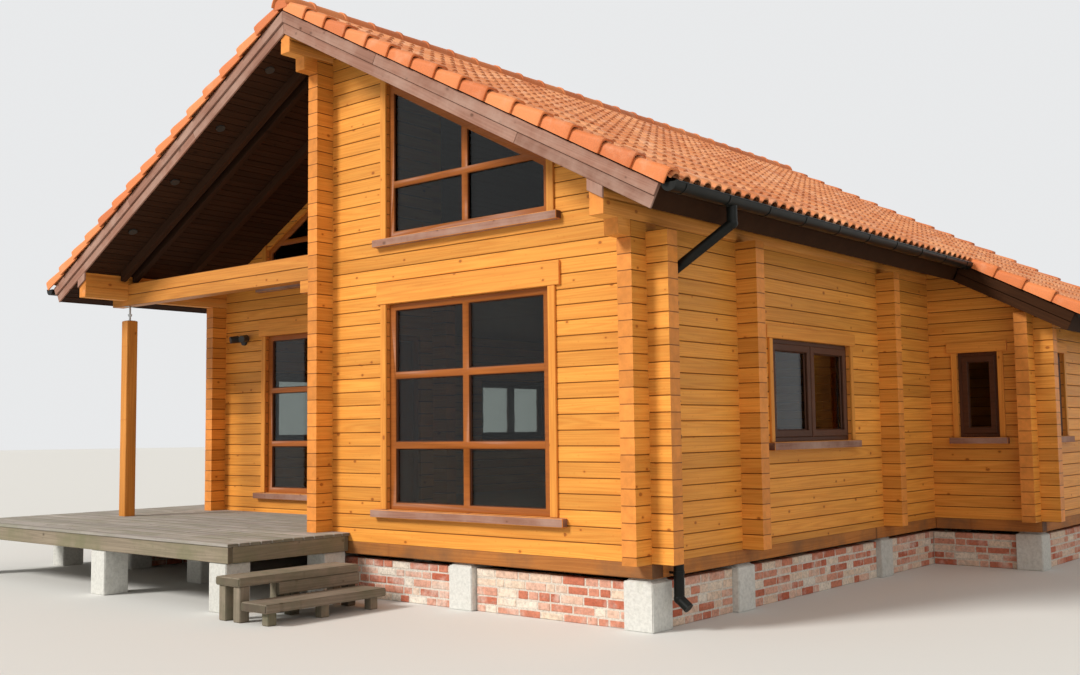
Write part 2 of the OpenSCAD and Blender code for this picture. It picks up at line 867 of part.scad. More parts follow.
// Frame of a gable window, with one post and one rail
module gable_frame(x) {
    difference() {
        in_wall_x(0, frame_in, 0, frame_d) difference() {
            gable_outline(x);
            difference() {
                gable_outline(x, 70);
                translate([x + big_w / 2 - 40, gable_z]) square([80, 2000]);
                translate([x, gable_z + 510]) square([big_w, 66]);
            }
        }
        in_wall_x(0, frame_in + bar_d, 0, frame_d) gable_outline(x, rebate);
    }
}

module gable_windows() {
    color("brown") placed() {
        gable_frame(big_x);
        translate([0, porch_d, 0]) gable_frame(porch_win_x);
    }
}

module casement_windows() {
    color("brown") placed() {
        at_wide_casements()
            window_frame(case_w, case_h, [110, 110], [case_w / 2], [], [150, 110]);
        at_narrow_casements()
            window_frame(wing_win_w, case_h, [110, 110], [], [], [110, 110]);
    }
}

// Double glazing in the frames, one sheet to each window
module window_glass() {
    color("slategray") placed() {
        at_large_windows() pane(big_w, big_h);
        at_wide_casements() pane(case_w, case_h);
        at_narrow_casements() pane(wing_win_w, case_h);
        in_wall_x(0, frame_in + bar_d, 0, glass_t) gable_outline(big_x, rebate + joint);
        in_wall_x(0, porch_d + frame_in + bar_d, 0, glass_t)
            gable_outline(porch_win_x, rebate + joint);
    }
}

// Trim boards round an opening: two sides, a head board and a thicker sill
module trims(w, h, head_h, side_w, head_over, sill_over) {
    translate([0, -trim_t, 0]) {
        translate([-side_w, 0, 0]) cube([side_w, trim_t, h - joint]);
        translate([w, 0, 0]) cube([side_w, trim_t, h - joint]);
        translate([-side_w - head_over, -4, h])
            cube([w + 2 * (side_w + head_over), trim_t + 4, head_h]);
        translate([-side_w - sill_over, -50, -75 - joint])
            cube([w + 2 * (side_w + sill_over), trim_t + 50, 75]);
    }
}

module window_trims() {
    color("rosybrown") placed() {
        at_large_windows() trims(big_w, big_h, 215, trim_w, 55, 95);
        at_wide_casements() trims(case_w, case_h, 120, case_trim_w, 50, 35);
        at_narrow_casements() trims(wing_win_w, case_h, 120, case_trim_w, 50, 35);
        gable_trims(big_x, 0);
        gable_trims(porch_win_x, porch_d);
    }
}

// Trim boards down both sides of a gable window, and its sill
module gable_trims(x, y) {
    for (x0 = [x - trim_w, x + big_w])
        in_wall_x(0, y - trim_t, 0, trim_t)
            polygon([
                [x0, gable_z],
                [x0 + trim_w, gable_z],
                [x0 + trim_w, roof_under(x0 + trim_w) - 10],
                [x0, roof_under(x0) - 10]
            ]);
    translate([x - 150, y - trim_t - 50, gable_z - 75 - joint])
        cube([big_w + 300, trim_t + 50, 75]);
}

module door_frame() {
    color("brown") placed()
        in_wall_y(cross_x + 20, door_y, floor_z, 90) difference() {
            square([door_w, door_h]);
            translate([65, -eps]) square([door_w - 130, door_h - 65 + eps]);
        }
}

// Ledged plank door with a glazed upper light
module entrance_door() {
    color("saddlebrown") placed()
        translate([cross_x + 45, door_y + 69, floor_z + 4]) {
            difference() {
                cube([45, door_w - 138, door_h - 73]);
                translate([-eps, 160, 1150]) cube([45 + 2 * eps, door_w - 458, 640]);
            }
            translate([16, 160, 1150]) cube([13, door_w - 458, 640]);
            translate([-45, 60, 1000]) rotate([0, 90, 0]) cylinder(h = 45, d = 18, $fn = 32);
        }
}

module deck_boards() {
    color("gray") placed() {
        z = floor_z - board_t;
        gap = 5;
        block([deck_l, -deck_front, z], [-deck_right, -stub_l - gap, floor_z]);
        block([deck_l, -stub_l, z], [cross_x - gap, -gap, floor_z]);
        block([cross_x + log_t + gap, -stub_l, z], [-deck_right, -gap, floor_z]);
        block([left_in + gap, 0, z], [cross_x - gap, porch_d - gap, floor_z]);
        block([deck_l, 0, z], [-house_w - stub_l - gap, deck_back, floor_z]);
        // Over the open length of the left sill beam
        block([-house_w - stub_l, 0, z], [left_in, porch_d - stub_l - gap, floor_z]);
        block([-house_w - stub_l, porch_d - stub_l, z], [-house_w - gap, porch_d - gap, floor_z]);
    }
}

module deck_frame() {
    color("olive") placed() {
        top = floor_z - board_t;
        low = top - 150;
        t = 48;
        in = 12;
        x0 = deck_l + in;
        x1 = -deck_right - in;
        y0 = -deck_front + in;
        back = -t - 15;
        strip_x = -house_w - stub_l - 12;
        strip_y = deck_back - in;
        block([x0, y0, low], [x1, y0 + t, top]);
        block([x0, back, low], [x1, -15, top]);
        for (i = [0 : 8])
            let (x = x0 + i * (x1 - x0 - t) / 8)
                block([x, y0 + t + joint, low], [x + t, back - joint, top]);
        block([x0, -15 + joint, low], [x0 + t, strip_y, top]);
        block([strip_x - t, -15 + joint, low], [strip_x, strip_y, top]);
        block([x0 + t + joint, strip_y - t, low], [strip_x - t - joint, strip_y, top]);
    }
}

module deck_piers() {
    color("lightgray") placed() {
        size = 270;
        top = floor_z - board_t - 150;
        for (x = [-deck_right - 50 - size, -6080, deck_l + 50])
            for (y = [-deck_front + 20, -size - 20])
                block([x, y, -base_h], [x + size, y + size, top]);
        block([deck_l + 50, deck_back - 300, -base_h], [deck_l + 50 + size, deck_back - 30, top]);
    }
}

module step_treads() {
    color("gray") placed() {
        block([step_x, step_y, upper_z - tread_t], [step_x + tread_d, step_y + tread_l, upper_z]);
        block([step_x + tread_d + 20, step_y, lower_z - tread_t],
            [step_x + 2 * tread_d + 30, step_y + tread_l, lower_z]);
    }
}

module step_supports() {
    color("dimgray") placed() {
        for (y = [step_y + 25, step_y + 0.42 * tread_l, step_y + tread_l - 125])
            for (x = [step_x + 20, step_x + tread_d - 120])
                block([x, y, -base_h], [x + 100, y + 100, upper_z - tread_t]);
        block([step_x + tread_d - 20, step_y + 0.3 * tread_l, lower_z + 15],
            [step_x + tread_d - 20 + plank_t, step_y + tread_l - 10, upper_z - tread_t]);
        for (y = [step_y + 60, step_y + tread_l / 2 - 45, step_y + tread_l - 150])
            block([step_x + 2 * tread_d - 110, y, -base_h],
                [step_x + 2 * tread_d - 20, y + 90, lower_z - tread_t]);
    }
}

// Twin spotlight on the back wall of the porch, and four round lamps in its soffit
module porch_lamps() {
    color("dimgray") placed() {
        translate([-7450, porch_d, 2300]) {
            rotate([90, 0, 0]) cylinder(h = 30, d = 110, $fn = 40);
            for (s = [-1, 1])
                translate([s * 105, -95, 25])
                    rotate([100, 0, s * 18])
                        cylinder(h = 110, d = 90, center = true, $fn = 40);
            translate([-110, -60, -8]) cube([220, 35, 16]);
        }
        for (i = [0 : 3])
            let (x = -4460 - i * 873)
                translate([x, -420, roof_under(x)])
                    rotate([0, -pitch, 0])
                        translate([0, 0, -14]) cylinder(h = 13, d = 100, $fn = 40);
    }
}

house_piers();
brick_plinth();
sill_beams();
ground_floor();
loft_floor();
front_wall();
porch_side_wall();
porch_back_wall();
left_wall();
right_wall();
back_wall();
wing_front_wall();
wing_side_wall();
cross_wall_stubs();
porch_beam();
roof_purlins();
porch_rafters();
porch_post();
post_jack();
left_roof_boarding();
right_roof_boarding();
wing_roof_boarding();
tile_battens();
left_roof_tiles();
right_roof_tiles();
wing_roof_tiles();
ridge_tiles();
verge_tiles();
barge_boards();
eaves_boards();
gutters();
downpipes();
large_windows();
gable_windows();
casement_windows();
window_glass();
window_trims();
entrance_door();
door_frame();
deck_boards();
deck_frame();
deck_piers();
step_treads();
step_supports();
porch_lamps();
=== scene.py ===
"""Finished model of a log cabin with a corner porch, a clay tile roof and a deck on piers.

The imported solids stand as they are, under the materials made here. Tiles, bricks, boards and
small fittings are made here, on the same named sizes as the solids.
"""
from __future__ import annotations

import logging
import math
import random
from collections.abc import Callable, Iterable
from dataclasses import dataclass, field, replace
from enum import Enum
from functools import cache

import bmesh
import bpy
from bmesh.types import BMEdge, BMesh, BMFace, BMVert
from bpy.types import Material, Mesh, Node, NodeSocket, Object
from mathutils import Matrix, Vector


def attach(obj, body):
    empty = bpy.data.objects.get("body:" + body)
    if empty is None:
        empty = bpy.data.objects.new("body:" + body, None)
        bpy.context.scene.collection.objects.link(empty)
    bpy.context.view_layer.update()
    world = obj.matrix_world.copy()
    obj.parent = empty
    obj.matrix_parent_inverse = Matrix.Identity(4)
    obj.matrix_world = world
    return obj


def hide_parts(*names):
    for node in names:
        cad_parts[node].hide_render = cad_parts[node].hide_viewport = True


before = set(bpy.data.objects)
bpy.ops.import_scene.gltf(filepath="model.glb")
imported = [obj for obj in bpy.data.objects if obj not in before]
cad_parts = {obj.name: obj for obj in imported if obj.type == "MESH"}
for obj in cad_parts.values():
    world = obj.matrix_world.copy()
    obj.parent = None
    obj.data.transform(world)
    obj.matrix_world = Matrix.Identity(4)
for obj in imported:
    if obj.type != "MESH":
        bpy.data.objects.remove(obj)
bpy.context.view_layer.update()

Triple = tuple[float, float, float]
Axes = tuple[Vector, Vector, Vector]

LOG = logging.getLogger("cabin")
PITCH = math.radians(28.2)
COS, SIN, RISE = math.cos(PITCH), math.sin(PITCH), math.tan(PITCH)
X, Y, Z = Vector((1, 0, 0)), Vector((0, 1, 0)), Vector((0, 0, 1))
NONE = (0.0, 0.0, 0.0)
# Place of the house's own zero point (right wall, front wall, top of the sill) in the row
HOUSE_ZERO = Vector((3.5944006, -4.1375, 0.55))
# Cosine of a face's angle to the fibres from which it counts as a cut end
END_FACE = 0.8
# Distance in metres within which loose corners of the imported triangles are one
WELD = 1e-5
# Angles in degrees under which edges look smooth, on fittings and on tiles
SMOOTH, TILE_SMOOTH = 35.0, 40.0


class Grain(Enum):
    """Direction in which the wood fibres of a piece run."""

    ALONG_X = "x"
    ALONG_Y = "y"
    BY_PIECE = "piece"


class Slope(Enum):
    """The two slopes of the roof, with the sign of their run along X."""

    LEFT = -1
    RIGHT = 1

    @property
    def up(self) -> Vector:
        """Direction up the slope."""
        return Vector((-self.value * COS, 0, SIN))

    @property
    def out(self) -> Vector:
        """Direction square to the slope, away from the house."""
        return Vector((self.value * SIN, 0, COS))


@dataclass(frozen=True)
class House:
    """Sizes of the cabin in metres, from the right wall's and front wall's outer faces.

    Places along a slope are level distances from the ridge: `edge` is where the boarding
    ends, and the noses of the lowest tiles stand `tile_past` beyond it.
    """

    width: float = 8.02
    length: float = 9.30
    log: float = 0.145
    course: float = 0.135
    porch: float = 1.45
    base: float = 0.55
    apex: float = 5.37
    roof_pack: float = 0.204
    gable_over: float = 0.57
    eaves_over: float = 0.525
    verge_past: float = 0.085
    tile_past: float = 0.145
    gauge: float = 0.345
    rows: int = 15
    wing_rows: int = 4
    wing_y: float = 5.86
    wing_over: float = 0.32
    wing_width: float = 1.21
    ridge: float = -width / 2
    front: float = -gable_over
    back: float = length + gable_over
    wing_front: float = wing_y - wing_over
    verge_front: float = front - verge_past
    verge_back: float = back + verge_past
    edge: float = eaves_over - ridge
    wing_edge: float = edge + wing_rows * gauge * COS

    def roof_under(self, x: float) -> float:
        """Height of the roof's underside over a place across the house."""
        return self.apex - self.roof_pack / COS - RISE * abs(x - self.ridge)

    def on_slope(self, slope: Slope, run: float, lift: float, y: float) -> Vector:
        """Gives a point over a slope of the roof.

        Args:
            slope: Which slope.
            run: Level distance from the ridge.
            lift: Height above the boarding, square to the slope.
            y: Place along the house.

        Returns:
            The point in the row's frame.
        """
        return at(self.ridge + slope.value * run, y, self.apex - RISE * run) + slope.out * lift

    def plumb(self, slope: Slope, run: float, lift: float, y: float) -> Vector:
        """Gives a point as on_slope does, but lifted straight up to the same plane."""
        return at(self.ridge + slope.value * run, y, self.apex - RISE * run + lift / COS)


def at(x: float, y: float, z: float) -> Vector:
    """Turns a place in the house's own frame into one in the row's frame."""
    return HOUSE_ZERO + Vector((x, y, z))


def arc(radius: float, count: int, sweep: float = math.tau) -> list[tuple[float, float]]:
    """Gives places round an arc about zero.

    Args:
        radius: Its radius.
        count: Number of places.
        sweep: Its angle, whose end is left out of a whole turn.

    Returns:
        Pairs of places along and above.
    """
    steps = count if sweep == math.tau else count - 1
    return [(radius * math.cos(sweep * i / steps), radius * math.sin(sweep * i / steps))
            for i in range(count)]


HOUSE = House()


@dataclass
class NodeTree:
    """A shader or geometry node tree that is being built."""

    tree: bpy.types.NodeTree

    def add(self, kind: str, inputs: dict | None = None, **settings: object) -> Node:
        """Adds a node.

        Args:
            kind: The node's type.
            inputs: Value or source socket for each input, by name or number.
            settings: Properties to set on the node.

        Returns:
            The new node.
        """
        node = self.tree.nodes.new(kind)
        for key, value in settings.items():
            setattr(node, key, value)
        for key, value in (inputs or {}).items():
            socket = node.inputs[key]
            if isinstance(value, NodeSocket):
                self.tree.links.new(value, socket)
            else:
                socket.default_value = (*value, 1.0) if socket.type == "RGBA" else value
        return node

    def math(self, operation: str, *values: NodeSocket | float) -> NodeSocket:
        """Adds a Math node and returns its result."""
        return self.add("ShaderNodeMath", dict(enumerate(values)), operation=operation).outputs[0]

    def vector(self, operation: str, *values: NodeSocket | Triple) -> NodeSocket:
        """Adds a Vector Math node and returns its result."""
        node = self.add("ShaderNodeVectorMath", dict(enumerate(values)), operation=operation)
        return node.outputs[0]

    def split(self, place: NodeSocket) -> bpy.types.NodeOutputs:
        """Splits a vector into its three values."""
        return self.add("ShaderNodeSeparateXYZ", {0: place}).outputs

    def here(self, output: str = "Object") -> NodeSocket:
        """Gives the place or the normal of the point that is shaded."""
        return self.add("ShaderNodeTexCoord").outputs[output]

    def read(self, name: str, output: str = "Fac") -> NodeSocket:
        """Reads an attribute of the mesh."""
        return self.add("ShaderNodeAttribute", attribute_name=name).outputs[output]

    def noise(self, place: NodeSocket, scale: float, detail: float, rough: float = 0.55,
              stretch: Triple | None = None) -> NodeSocket:
        """Adds a Noise texture.

        Args:
            place: Where it is read.
            scale: Its scale.
            detail: Its detail.
            rough: Its roughness.
            stretch: Factors on the place, where it is stretched first.

        Returns:
            Its value.
        """
        place = self.vector("MULTIPLY", place, stretch) if stretch else place
        inputs = {"Vector": place, "Scale": scale, "Detail": detail, "Roughness": rough}
        return self.add("ShaderNodeTexNoise", inputs).outputs["Fac"]

    def ramp(self, value: NodeSocket, *stops: tuple[float, Triple | float]) -> NodeSocket:
        """Adds a Color Ramp.

        Args:
            value: Socket that drives the ramp.
            stops: Pairs of a position and a colour or a grey level.

        Returns:
            The ramp's colour.
        """
        node = self.add("ShaderNodeValToRGB", {0: value})
        elements = node.color_ramp.elements
        while len(elements) < len(stops):
            elements.new(0.5)
        for element, (place, shade) in zip(elements, stops):
            element.position = place
            element.color = (*shade, 1.0) if isinstance(shade, tuple) else (shade,) * 3 + (1.0,)
        return node.outputs["Color"]

    def mix(self, amount: NodeSocket | float, first: NodeSocket | Triple,
            second: NodeSocket | Triple, blend: str = "MIX") -> NodeSocket:
        """Adds a colour Mix node and returns its result."""
        return self.add("ShaderNodeMix", {0: amount, 6: first, 7: second}, data_type="RGBA",
                        blend_type=blend).outputs[2]


@dataclass(frozen=True)
class Finish:
    """A surface finish, made as a procedural material."""

    name: str
    slot: str
    roughness: float = 0.6

    @property
    def label(self) -> str:
        """Name of the material."""
        return self.name

    def shade(self, nodes: NodeTree) -> None:
        """Fills the material's tree. Each kind of finish has its own way."""
        raise NotImplementedError

    def close(self, nodes: NodeTree, colour: NodeSocket | Triple, height: NodeSocket,
              depth: float, rough: NodeSocket, **levels: float) -> None:
        """Adds the bump, the shader and the output.

        Args:
            nodes: The material's tree.
            colour: Colour value or socket.
            height: Socket that drives the bump.
            depth: Depth of the bump in metres.
            rough: Roughness socket.
            levels: Other inputs of the shader by name, as plain numbers.
        """
        bump = nodes.add("ShaderNodeBump", {"Height": height, "Distance": depth, "Strength": 0.7})
        inputs = {key.replace("_", " "): value for key, value in levels.items()}
        shader = nodes.add("ShaderNodeBsdfPrincipled", inputs | {
            "Base Color": colour, "Roughness": rough, "Normal": bump.outputs["Normal"]})
        nodes.add("ShaderNodeOutputMaterial", {"Surface": shader.outputs[0]})


@cache
def made(finish: Finish) -> Material:
    """Makes the material of a finish, once.

    Args:
        finish: The finish.

    Returns:
        Its material.
    """
    material = bpy.data.materials.new(finish.label)
    material.use_nodes = True
    material.node_tree.nodes.clear()
    finish.shade(NodeTree(material.node_tree))
    return material


@dataclass(frozen=True)
class Wood(Finish):
    """Stained or glazed softwood with growth rings, fibres and knots."""

    early: Triple = (0.84, 0.36, 0.065)
    late: Triple = (0.66, 0.22, 0.03)
    end: Triple = (0.74, 0.27, 0.055)
    knot: Triple = (0.26, 0.075, 0.015)
    # Colour of the joints between logs: dirt and painted shadow in the grooves
    seam_dirt_and_shade: Triple = (0.10, 0.03, 0.008)
    knots: float = 0.11
    weather: Triple | None = None
    specular: float = 0.18
    grain: Grain = Grain.BY_PIECE

    @property
    def label(self) -> str:
        """Name of the material, with the way of its fibres."""
        return f"{self.name}_{self.grain.value}"

    def place(self, nodes: NodeTree) -> tuple[NodeSocket | None, ...]:
        """Gives a point's place in the wood, fibres first.

        Args:
            nodes: The material's tree.

        Returns:
            The place, how much the face is an end, the piece's own tone, and how much the
            face lies in a joint between two logs, where there are joints; the joints are
            darkened with dirt and painted shadow.
        """
        if self.grain is Grain.BY_PIECE:
            tone = nodes.read("tone")
            shift = nodes.add("ShaderNodeVectorMath", {0: (17.3, 9.1, 23.7), "Scale": tone},
                              operation="SCALE").outputs[0]
            return (nodes.vector("ADD", nodes.read("grain", "Vector"), shift), nodes.read("ends"),
                    tone, None)
        xyz, normal = nodes.split(nodes.here()), nodes.split(nodes.here("Normal"))
        along, across = (0, 1) if self.grain is Grain.ALONG_X else (1, 0)
        start = HOUSE_ZERO.z + along * HOUSE.course / 2
        level = nodes.math("DIVIDE", nodes.math("SUBTRACT", xyz[2], start), HOUSE.course)
        course = nodes.math("FLOOR", level)
        key = nodes.add("ShaderNodeCombineXYZ", {0: course, 1: 3.7 + along, 2: 0.4}).outputs[0]
        tone = nodes.add("ShaderNodeTexWhiteNoise", {"Vector": key}).outputs["Value"]
        shifted = nodes.math("ADD", xyz[along], nodes.math("MULTIPLY", course, 5.31))
        place = nodes.add("ShaderNodeCombineXYZ", {0: shifted, 1: xyz[across], 2: xyz[2]})
        ends = nodes.math("GREATER_THAN", nodes.math("ABSOLUTE", normal[along]), END_FACE)
        upright = nodes.math("LESS_THAN", nodes.math("ABSOLUTE", normal[2]), END_FACE)
        # The joint line is dirt and painted shadow in the groove, on upright faces only
        joint = nodes.ramp(nodes.math("PINGPONG", level, 0.5), (0.014, 1.0), (0.045, 0.0))
        return place.outputs[0], ends, tone, nodes.math("MULTIPLY", joint, upright)

    def knotted(self, nodes: NodeTree, colour: NodeSocket, place: NodeSocket,
                ends: NodeSocket) -> NodeSocket:
        """Adds knots with a halo of late wood to the sides of a piece.

        Args:
            nodes: The material's tree.
            colour: The clear wood's colour.
            place: The point's place in the wood.
            ends: How much the face is an end.

        Returns:
            The colour with knots.
        """
        xyz = nodes.split(place)
        flat = nodes.add("ShaderNodeCombineXYZ", {0: xyz[0], 1: xyz[2]}).outputs[0]
        cells = {"Vector": nodes.vector("MULTIPLY", flat, (5.5, 8.0, 0.0)), "Scale": 1.0}
        spots = nodes.add("ShaderNodeTexVoronoi", cells, voronoi_dimensions="2D").outputs
        pick = nodes.add("ShaderNodeSeparateColor", {0: spots["Color"]}).outputs
        size = nodes.math("MULTIPLY", nodes.math("LESS_THAN", pick[0], self.knots),
                          nodes.math("MULTIPLY_ADD", pick[1], 0.09, 0.05))
        inside = nodes.math("SUBTRACT", size, spots["Distance"])
        halo = nodes.ramp(nodes.math("MULTIPLY_ADD", inside, 7.0, 0.6), (0.0, 0.0), (0.6, 0.6))
        heart = nodes.ramp(nodes.math("MULTIPLY", inside, 22.0), (0.0, 0.0), (0.7, 0.7))
        side = nodes.math("SUBTRACT", 1.0, ends)
        for amount, tint in ((halo, self.late), (heart, self.knot)):
            colour = nodes.mix(nodes.math("MULTIPLY", amount, side), colour, tint)
        return colour

    def shade(self, nodes: NodeTree) -> None:
        """Builds rings, fibres, knots, cut ends, tones, joints darkened with dirt and painted
        shadow, and weathering.

        Args:
            nodes: The material's tree.
        """
        place, ends, tone, joint = self.place(nodes)
        rings = nodes.math("MULTIPLY", nodes.noise(place, 1.0, 1.5, stretch=(0.28, 9.0, 9.0)), 11.0)
        rings = nodes.math("MULTIPLY", nodes.math("PINGPONG", rings, 0.5), 2.0)
        fibre = nodes.noise(place, 1.0, 4.0, stretch=(2.5, 150.0, 150.0))
        cloud = nodes.noise(place, 1.0, 4.0, stretch=(0.8, 6.0, 6.0))
        colour = nodes.mix(0.5, self.early, nodes.ramp(rings, (0.0, self.late), (0.9, self.early)))
        colour = nodes.mix(0.5, colour, nodes.ramp(fibre, (0.3, 0.8), (0.7, 1.08)), "MULTIPLY")
        colour = nodes.mix(0.6, colour, nodes.ramp(cloud, (0.3, 0.78), (0.7, 1.12)), "MULTIPLY")
        colour = self.knotted(nodes, colour, place, ends)
        pores = nodes.ramp(nodes.noise(place, 11.0, 4.0, 0.6), (0.3, 0.84), (0.7, 1.1))
        colour = nodes.mix(ends, colour, nodes.mix(1.0, pores, self.end, "MULTIPLY"))
        colour = nodes.mix(0.8, colour, nodes.ramp(tone, (0.0, 0.80), (1.0, 1.14)), "MULTIPLY")
        # Darkens the joints with dirt and painted shadow
        if joint is not None:
            colour = nodes.mix(nodes.math("MULTIPLY", joint, 0.85), colour, self.seam_dirt_and_shade)
        if self.weather:
            stain = nodes.ramp(nodes.noise(place, 1.7, 6.0, 0.65), (0.42, 0.0), (0.68, 0.75))
            colour = nodes.mix(stain, colour, self.weather)
        relief = nodes.math("ADD", nodes.math("MULTIPLY", fibre, 0.6),
                            nodes.math("MULTIPLY", rings, 0.4))
        rough = nodes.math("MULTIPLY_ADD", fibre, 0.22, self.roughness - 0.11)
        self.close(nodes, colour, relief, 0.0012, rough, Specular_IOR_Level=self.specular)


@dataclass(frozen=True)
class Mineral(Finish):
    """Fired clay, brick, mortar or cast concrete, mottled and slightly rough."""

    shades: tuple[tuple[float, Triple], ...] = ()
    bloom: Triple = (0.85, 0.8, 0.7)
    bloom_from: float = 0.55
    speck: float = 0.75
    grit: float = 60.0
    depth: float = 0.002

    def shade(self, nodes: NodeTree) -> None:
        """Builds a shade that follows each piece's own tone, with bloom and grit.

        Args:
            nodes: The material's tree.
        """
        place = nodes.here()
        cloud, grain = nodes.noise(place, 4.5, 5.0, 0.6), nodes.noise(place, self.grit, 4.0, 0.65)
        bloom = nodes.ramp(cloud, (self.bloom_from, 0.0), (self.bloom_from + 0.25, 0.7))
        colour = nodes.mix(bloom, nodes.ramp(nodes.read("tone"), *self.shades), self.bloom)
        specks = nodes.ramp(grain, (0.3, self.speck), (0.6, 1.08))
        rough = nodes.math("MULTIPLY_ADD", grain, 0.2, self.roughness - 0.1)
        self.close(nodes, nodes.mix(0.8, colour, specks, "MULTIPLY"), grain, self.depth, rough,
                   Specular_IOR_Level=0.35)


@dataclass(frozen=True)
class Metal(Finish):
    """Coated or bare sheet metal with dust and fine scuffs."""

    colour: Triple = (0.012, 0.013, 0.013)
    dust: Triple = (0.03, 0.03, 0.026)
    metallic: float = 0.0
    specular: float = 0.35

    def shade(self, nodes: NodeTree) -> None:
        """Builds the coat with a film of dust.

        Args:
            nodes: The material's tree.
        """
        place = nodes.here()
        film = nodes.ramp(nodes.noise(place, 7.0, 5.0, 0.6), (0.5, 0.0), (0.75, 0.6))
        scuff = nodes.noise(place, 1.0, 3.0, stretch=(40.0, 8.0, 40.0))
        rough = nodes.math("MULTIPLY_ADD", scuff, 0.25, self.roughness - 0.12)
        self.close(nodes, nodes.mix(film, self.colour, self.dust), scuff, 0.0004, rough,
                   Metallic=self.metallic, Specular_IOR_Level=self.specular)


@dataclass(frozen=True)
class Glazing(Finish):
    """Window glass with a faint film of dirt in its roughness, tinted dark as painted shade."""

    # A faint green of the glass itself, made dark as painted shade of the rooms behind the panes
    tint: Triple = (0.42, 0.45, 0.43)

    def shade(self, nodes: NodeTree) -> None:
        """Builds the glass.

        Args:
            nodes: The material's tree.
        """
        film = nodes.noise(nodes.here(), 2.2, 5.0, 0.6)
        rough = nodes.math("MULTIPLY", nodes.math("POWER", film, 3.0), 0.12)
        self.close(nodes, self.tint, film, 0.0005, rough, IOR=1.3, Transmission_Weight=1.0,
                   Specular_IOR_Level=0.2)


LOG_GLAZE = Wood("log_glaze", "wall_log", 0.45)
BEAM_GLAZE = Wood("beam_glaze", "wall_log", 0.48, (0.72, 0.30, 0.06), (0.54, 0.18, 0.03))
TRIM_GLAZE = Wood("trim_glaze", "trim_wood", 0.5, (0.80, 0.33, 0.06), (0.62, 0.20, 0.03))
FLOOR_WAX = Wood("floor_wax", "floor_board", 0.45, (0.50, 0.30, 0.13), (0.38, 0.2, 0.08),
                 grain=Grain.ALONG_Y)
TRIM_STAIN = Wood("trim_stain", "trim_wood", 0.72, (0.34, 0.175, 0.125), (0.22, 0.10, 0.065),
                  (0.13, 0.06, 0.04), (0.08, 0.035, 0.02), weather=(0.45, 0.30, 0.24), knots=0.16)
SILL_STAIN = Wood("sill_stain", "trim_wood", 0.6, (0.50, 0.19, 0.045), (0.34, 0.11, 0.024),
                  (0.12, 0.05, 0.02), (0.1, 0.035, 0.01), weather=(0.17, 0.09, 0.045))
SASH_STAIN = Wood("sash_stain", "window_wood", 0.42, (0.42, 0.125, 0.02), (0.30, 0.078, 0.012),
                  (0.2, 0.055, 0.012), knots=0.0)
DARK_SASH = Wood("dark_sash_stain", "window_wood", 0.4, (0.095, 0.036, 0.018),
                 (0.06, 0.022, 0.011), (0.06, 0.02, 0.012), knots=0.0)
# Near-black brown of the soffit boards, battens and porch rafters: dark stain, darkened further as
# painted shade under the roof
SOFFIT_STAIN_AND_SHADE = Wood("soffit_stain_and_shade", "roof_timber", 0.7, (0.045, 0.02, 0.010),
                    (0.026, 0.011, 0.006), (0.03, 0.012, 0.006), (0.02, 0.008, 0.004),
                    specular=0.1)
# Dark brown stain of the fascia and the wing's barge boards, darkened to near-black as painted
# shade from the gutter and the main roof
EAVES_STAIN_AND_SHADE = Wood("eaves_stain_and_shade", "trim_wood", 0.7, (0.052, 0.021, 0.009), (0.031, 0.012, 0.005),
                   (0.034, 0.014, 0.006), (0.02, 0.008, 0.003), specular=0.05)
STEP_GREY = Wood("step_grey", "deck_wood", 0.85, (0.30, 0.245, 0.19), (0.17, 0.135, 0.10),
                 (0.13, 0.10, 0.075), (0.09, 0.065, 0.045), weather=(0.12, 0.125, 0.075),
                 specular=0.15)
# The deck boards' wood made darker and browner for the frame's upright faces: moss and weathering,
# and painted shade
FRAME_GREY_AND_SHADE = Wood("frame_grey_and_shade", "deck_wood", 0.85, (0.35, 0.29, 0.215), (0.20, 0.165, 0.12),
                  (0.15, 0.12, 0.085), (0.11, 0.085, 0.06), weather=(0.17, 0.17, 0.095),
                  specular=0.12)
DECK_GREY = Wood("deck_grey", "deck_wood", 0.85, (0.43, 0.395, 0.36), (0.27, 0.245, 0.22),
                 (0.17, 0.15, 0.12), (0.14, 0.115, 0.095), weather=(0.24, 0.24, 0.17),
                 specular=0.15)
CLAY_TILE = Mineral("clay_tile", "roof_tile", 0.62,
                    ((0.0, (0.58, 0.155, 0.045)), (0.5, (0.70, 0.205, 0.06)),
                     (1.0, (0.79, 0.27, 0.09))), (0.74, 0.35, 0.19), 0.55, 0.82, 90.0, 0.0015)
# The same clay as the verge tiles, paler and pinker on the field: partly its own colour, partly
# painted sun glare
FIELD_TILE_AND_GLARE = Mineral("field_tile_and_glare", "roof_tile", 0.66,
                     ((0.0, (0.60, 0.195, 0.07)), (0.5, (0.72, 0.27, 0.105)),
                      (1.0, (0.82, 0.36, 0.16))), (0.80, 0.48, 0.32), 0.5, 0.78, 90.0, 0.0015)
OLD_BRICK = Mineral("old_brick", "brick", 0.9,
                    ((0.0, (0.50, 0.13, 0.07)), (0.3, (0.62, 0.24, 0.15)),
                     (0.55, (0.70, 0.40, 0.30)), (0.8, (0.78, 0.62, 0.48)),
                     (1.0, (0.80, 0.72, 0.62))), (0.80, 0.74, 0.66), 0.5, 0.6, 35.0, 0.004)
LIME_MORTAR = Mineral("lime_mortar", "brick", 0.95,
                      ((0.0, (0.66, 0.60, 0.52)), (1.0, (0.72, 0.67, 0.60))),
                      (0.74, 0.70, 0.64), 0.55, 0.6, 45.0, 0.005)
CAST_CONCRETE = Mineral("cast_concrete", "concrete", 0.9,
                        ((0.0, (0.57, 0.57, 0.535)), (1.0, (0.69, 0.69, 0.655))),
                        (0.47, 0.475, 0.41), 0.58, 0.8, 30.0, 0.003)
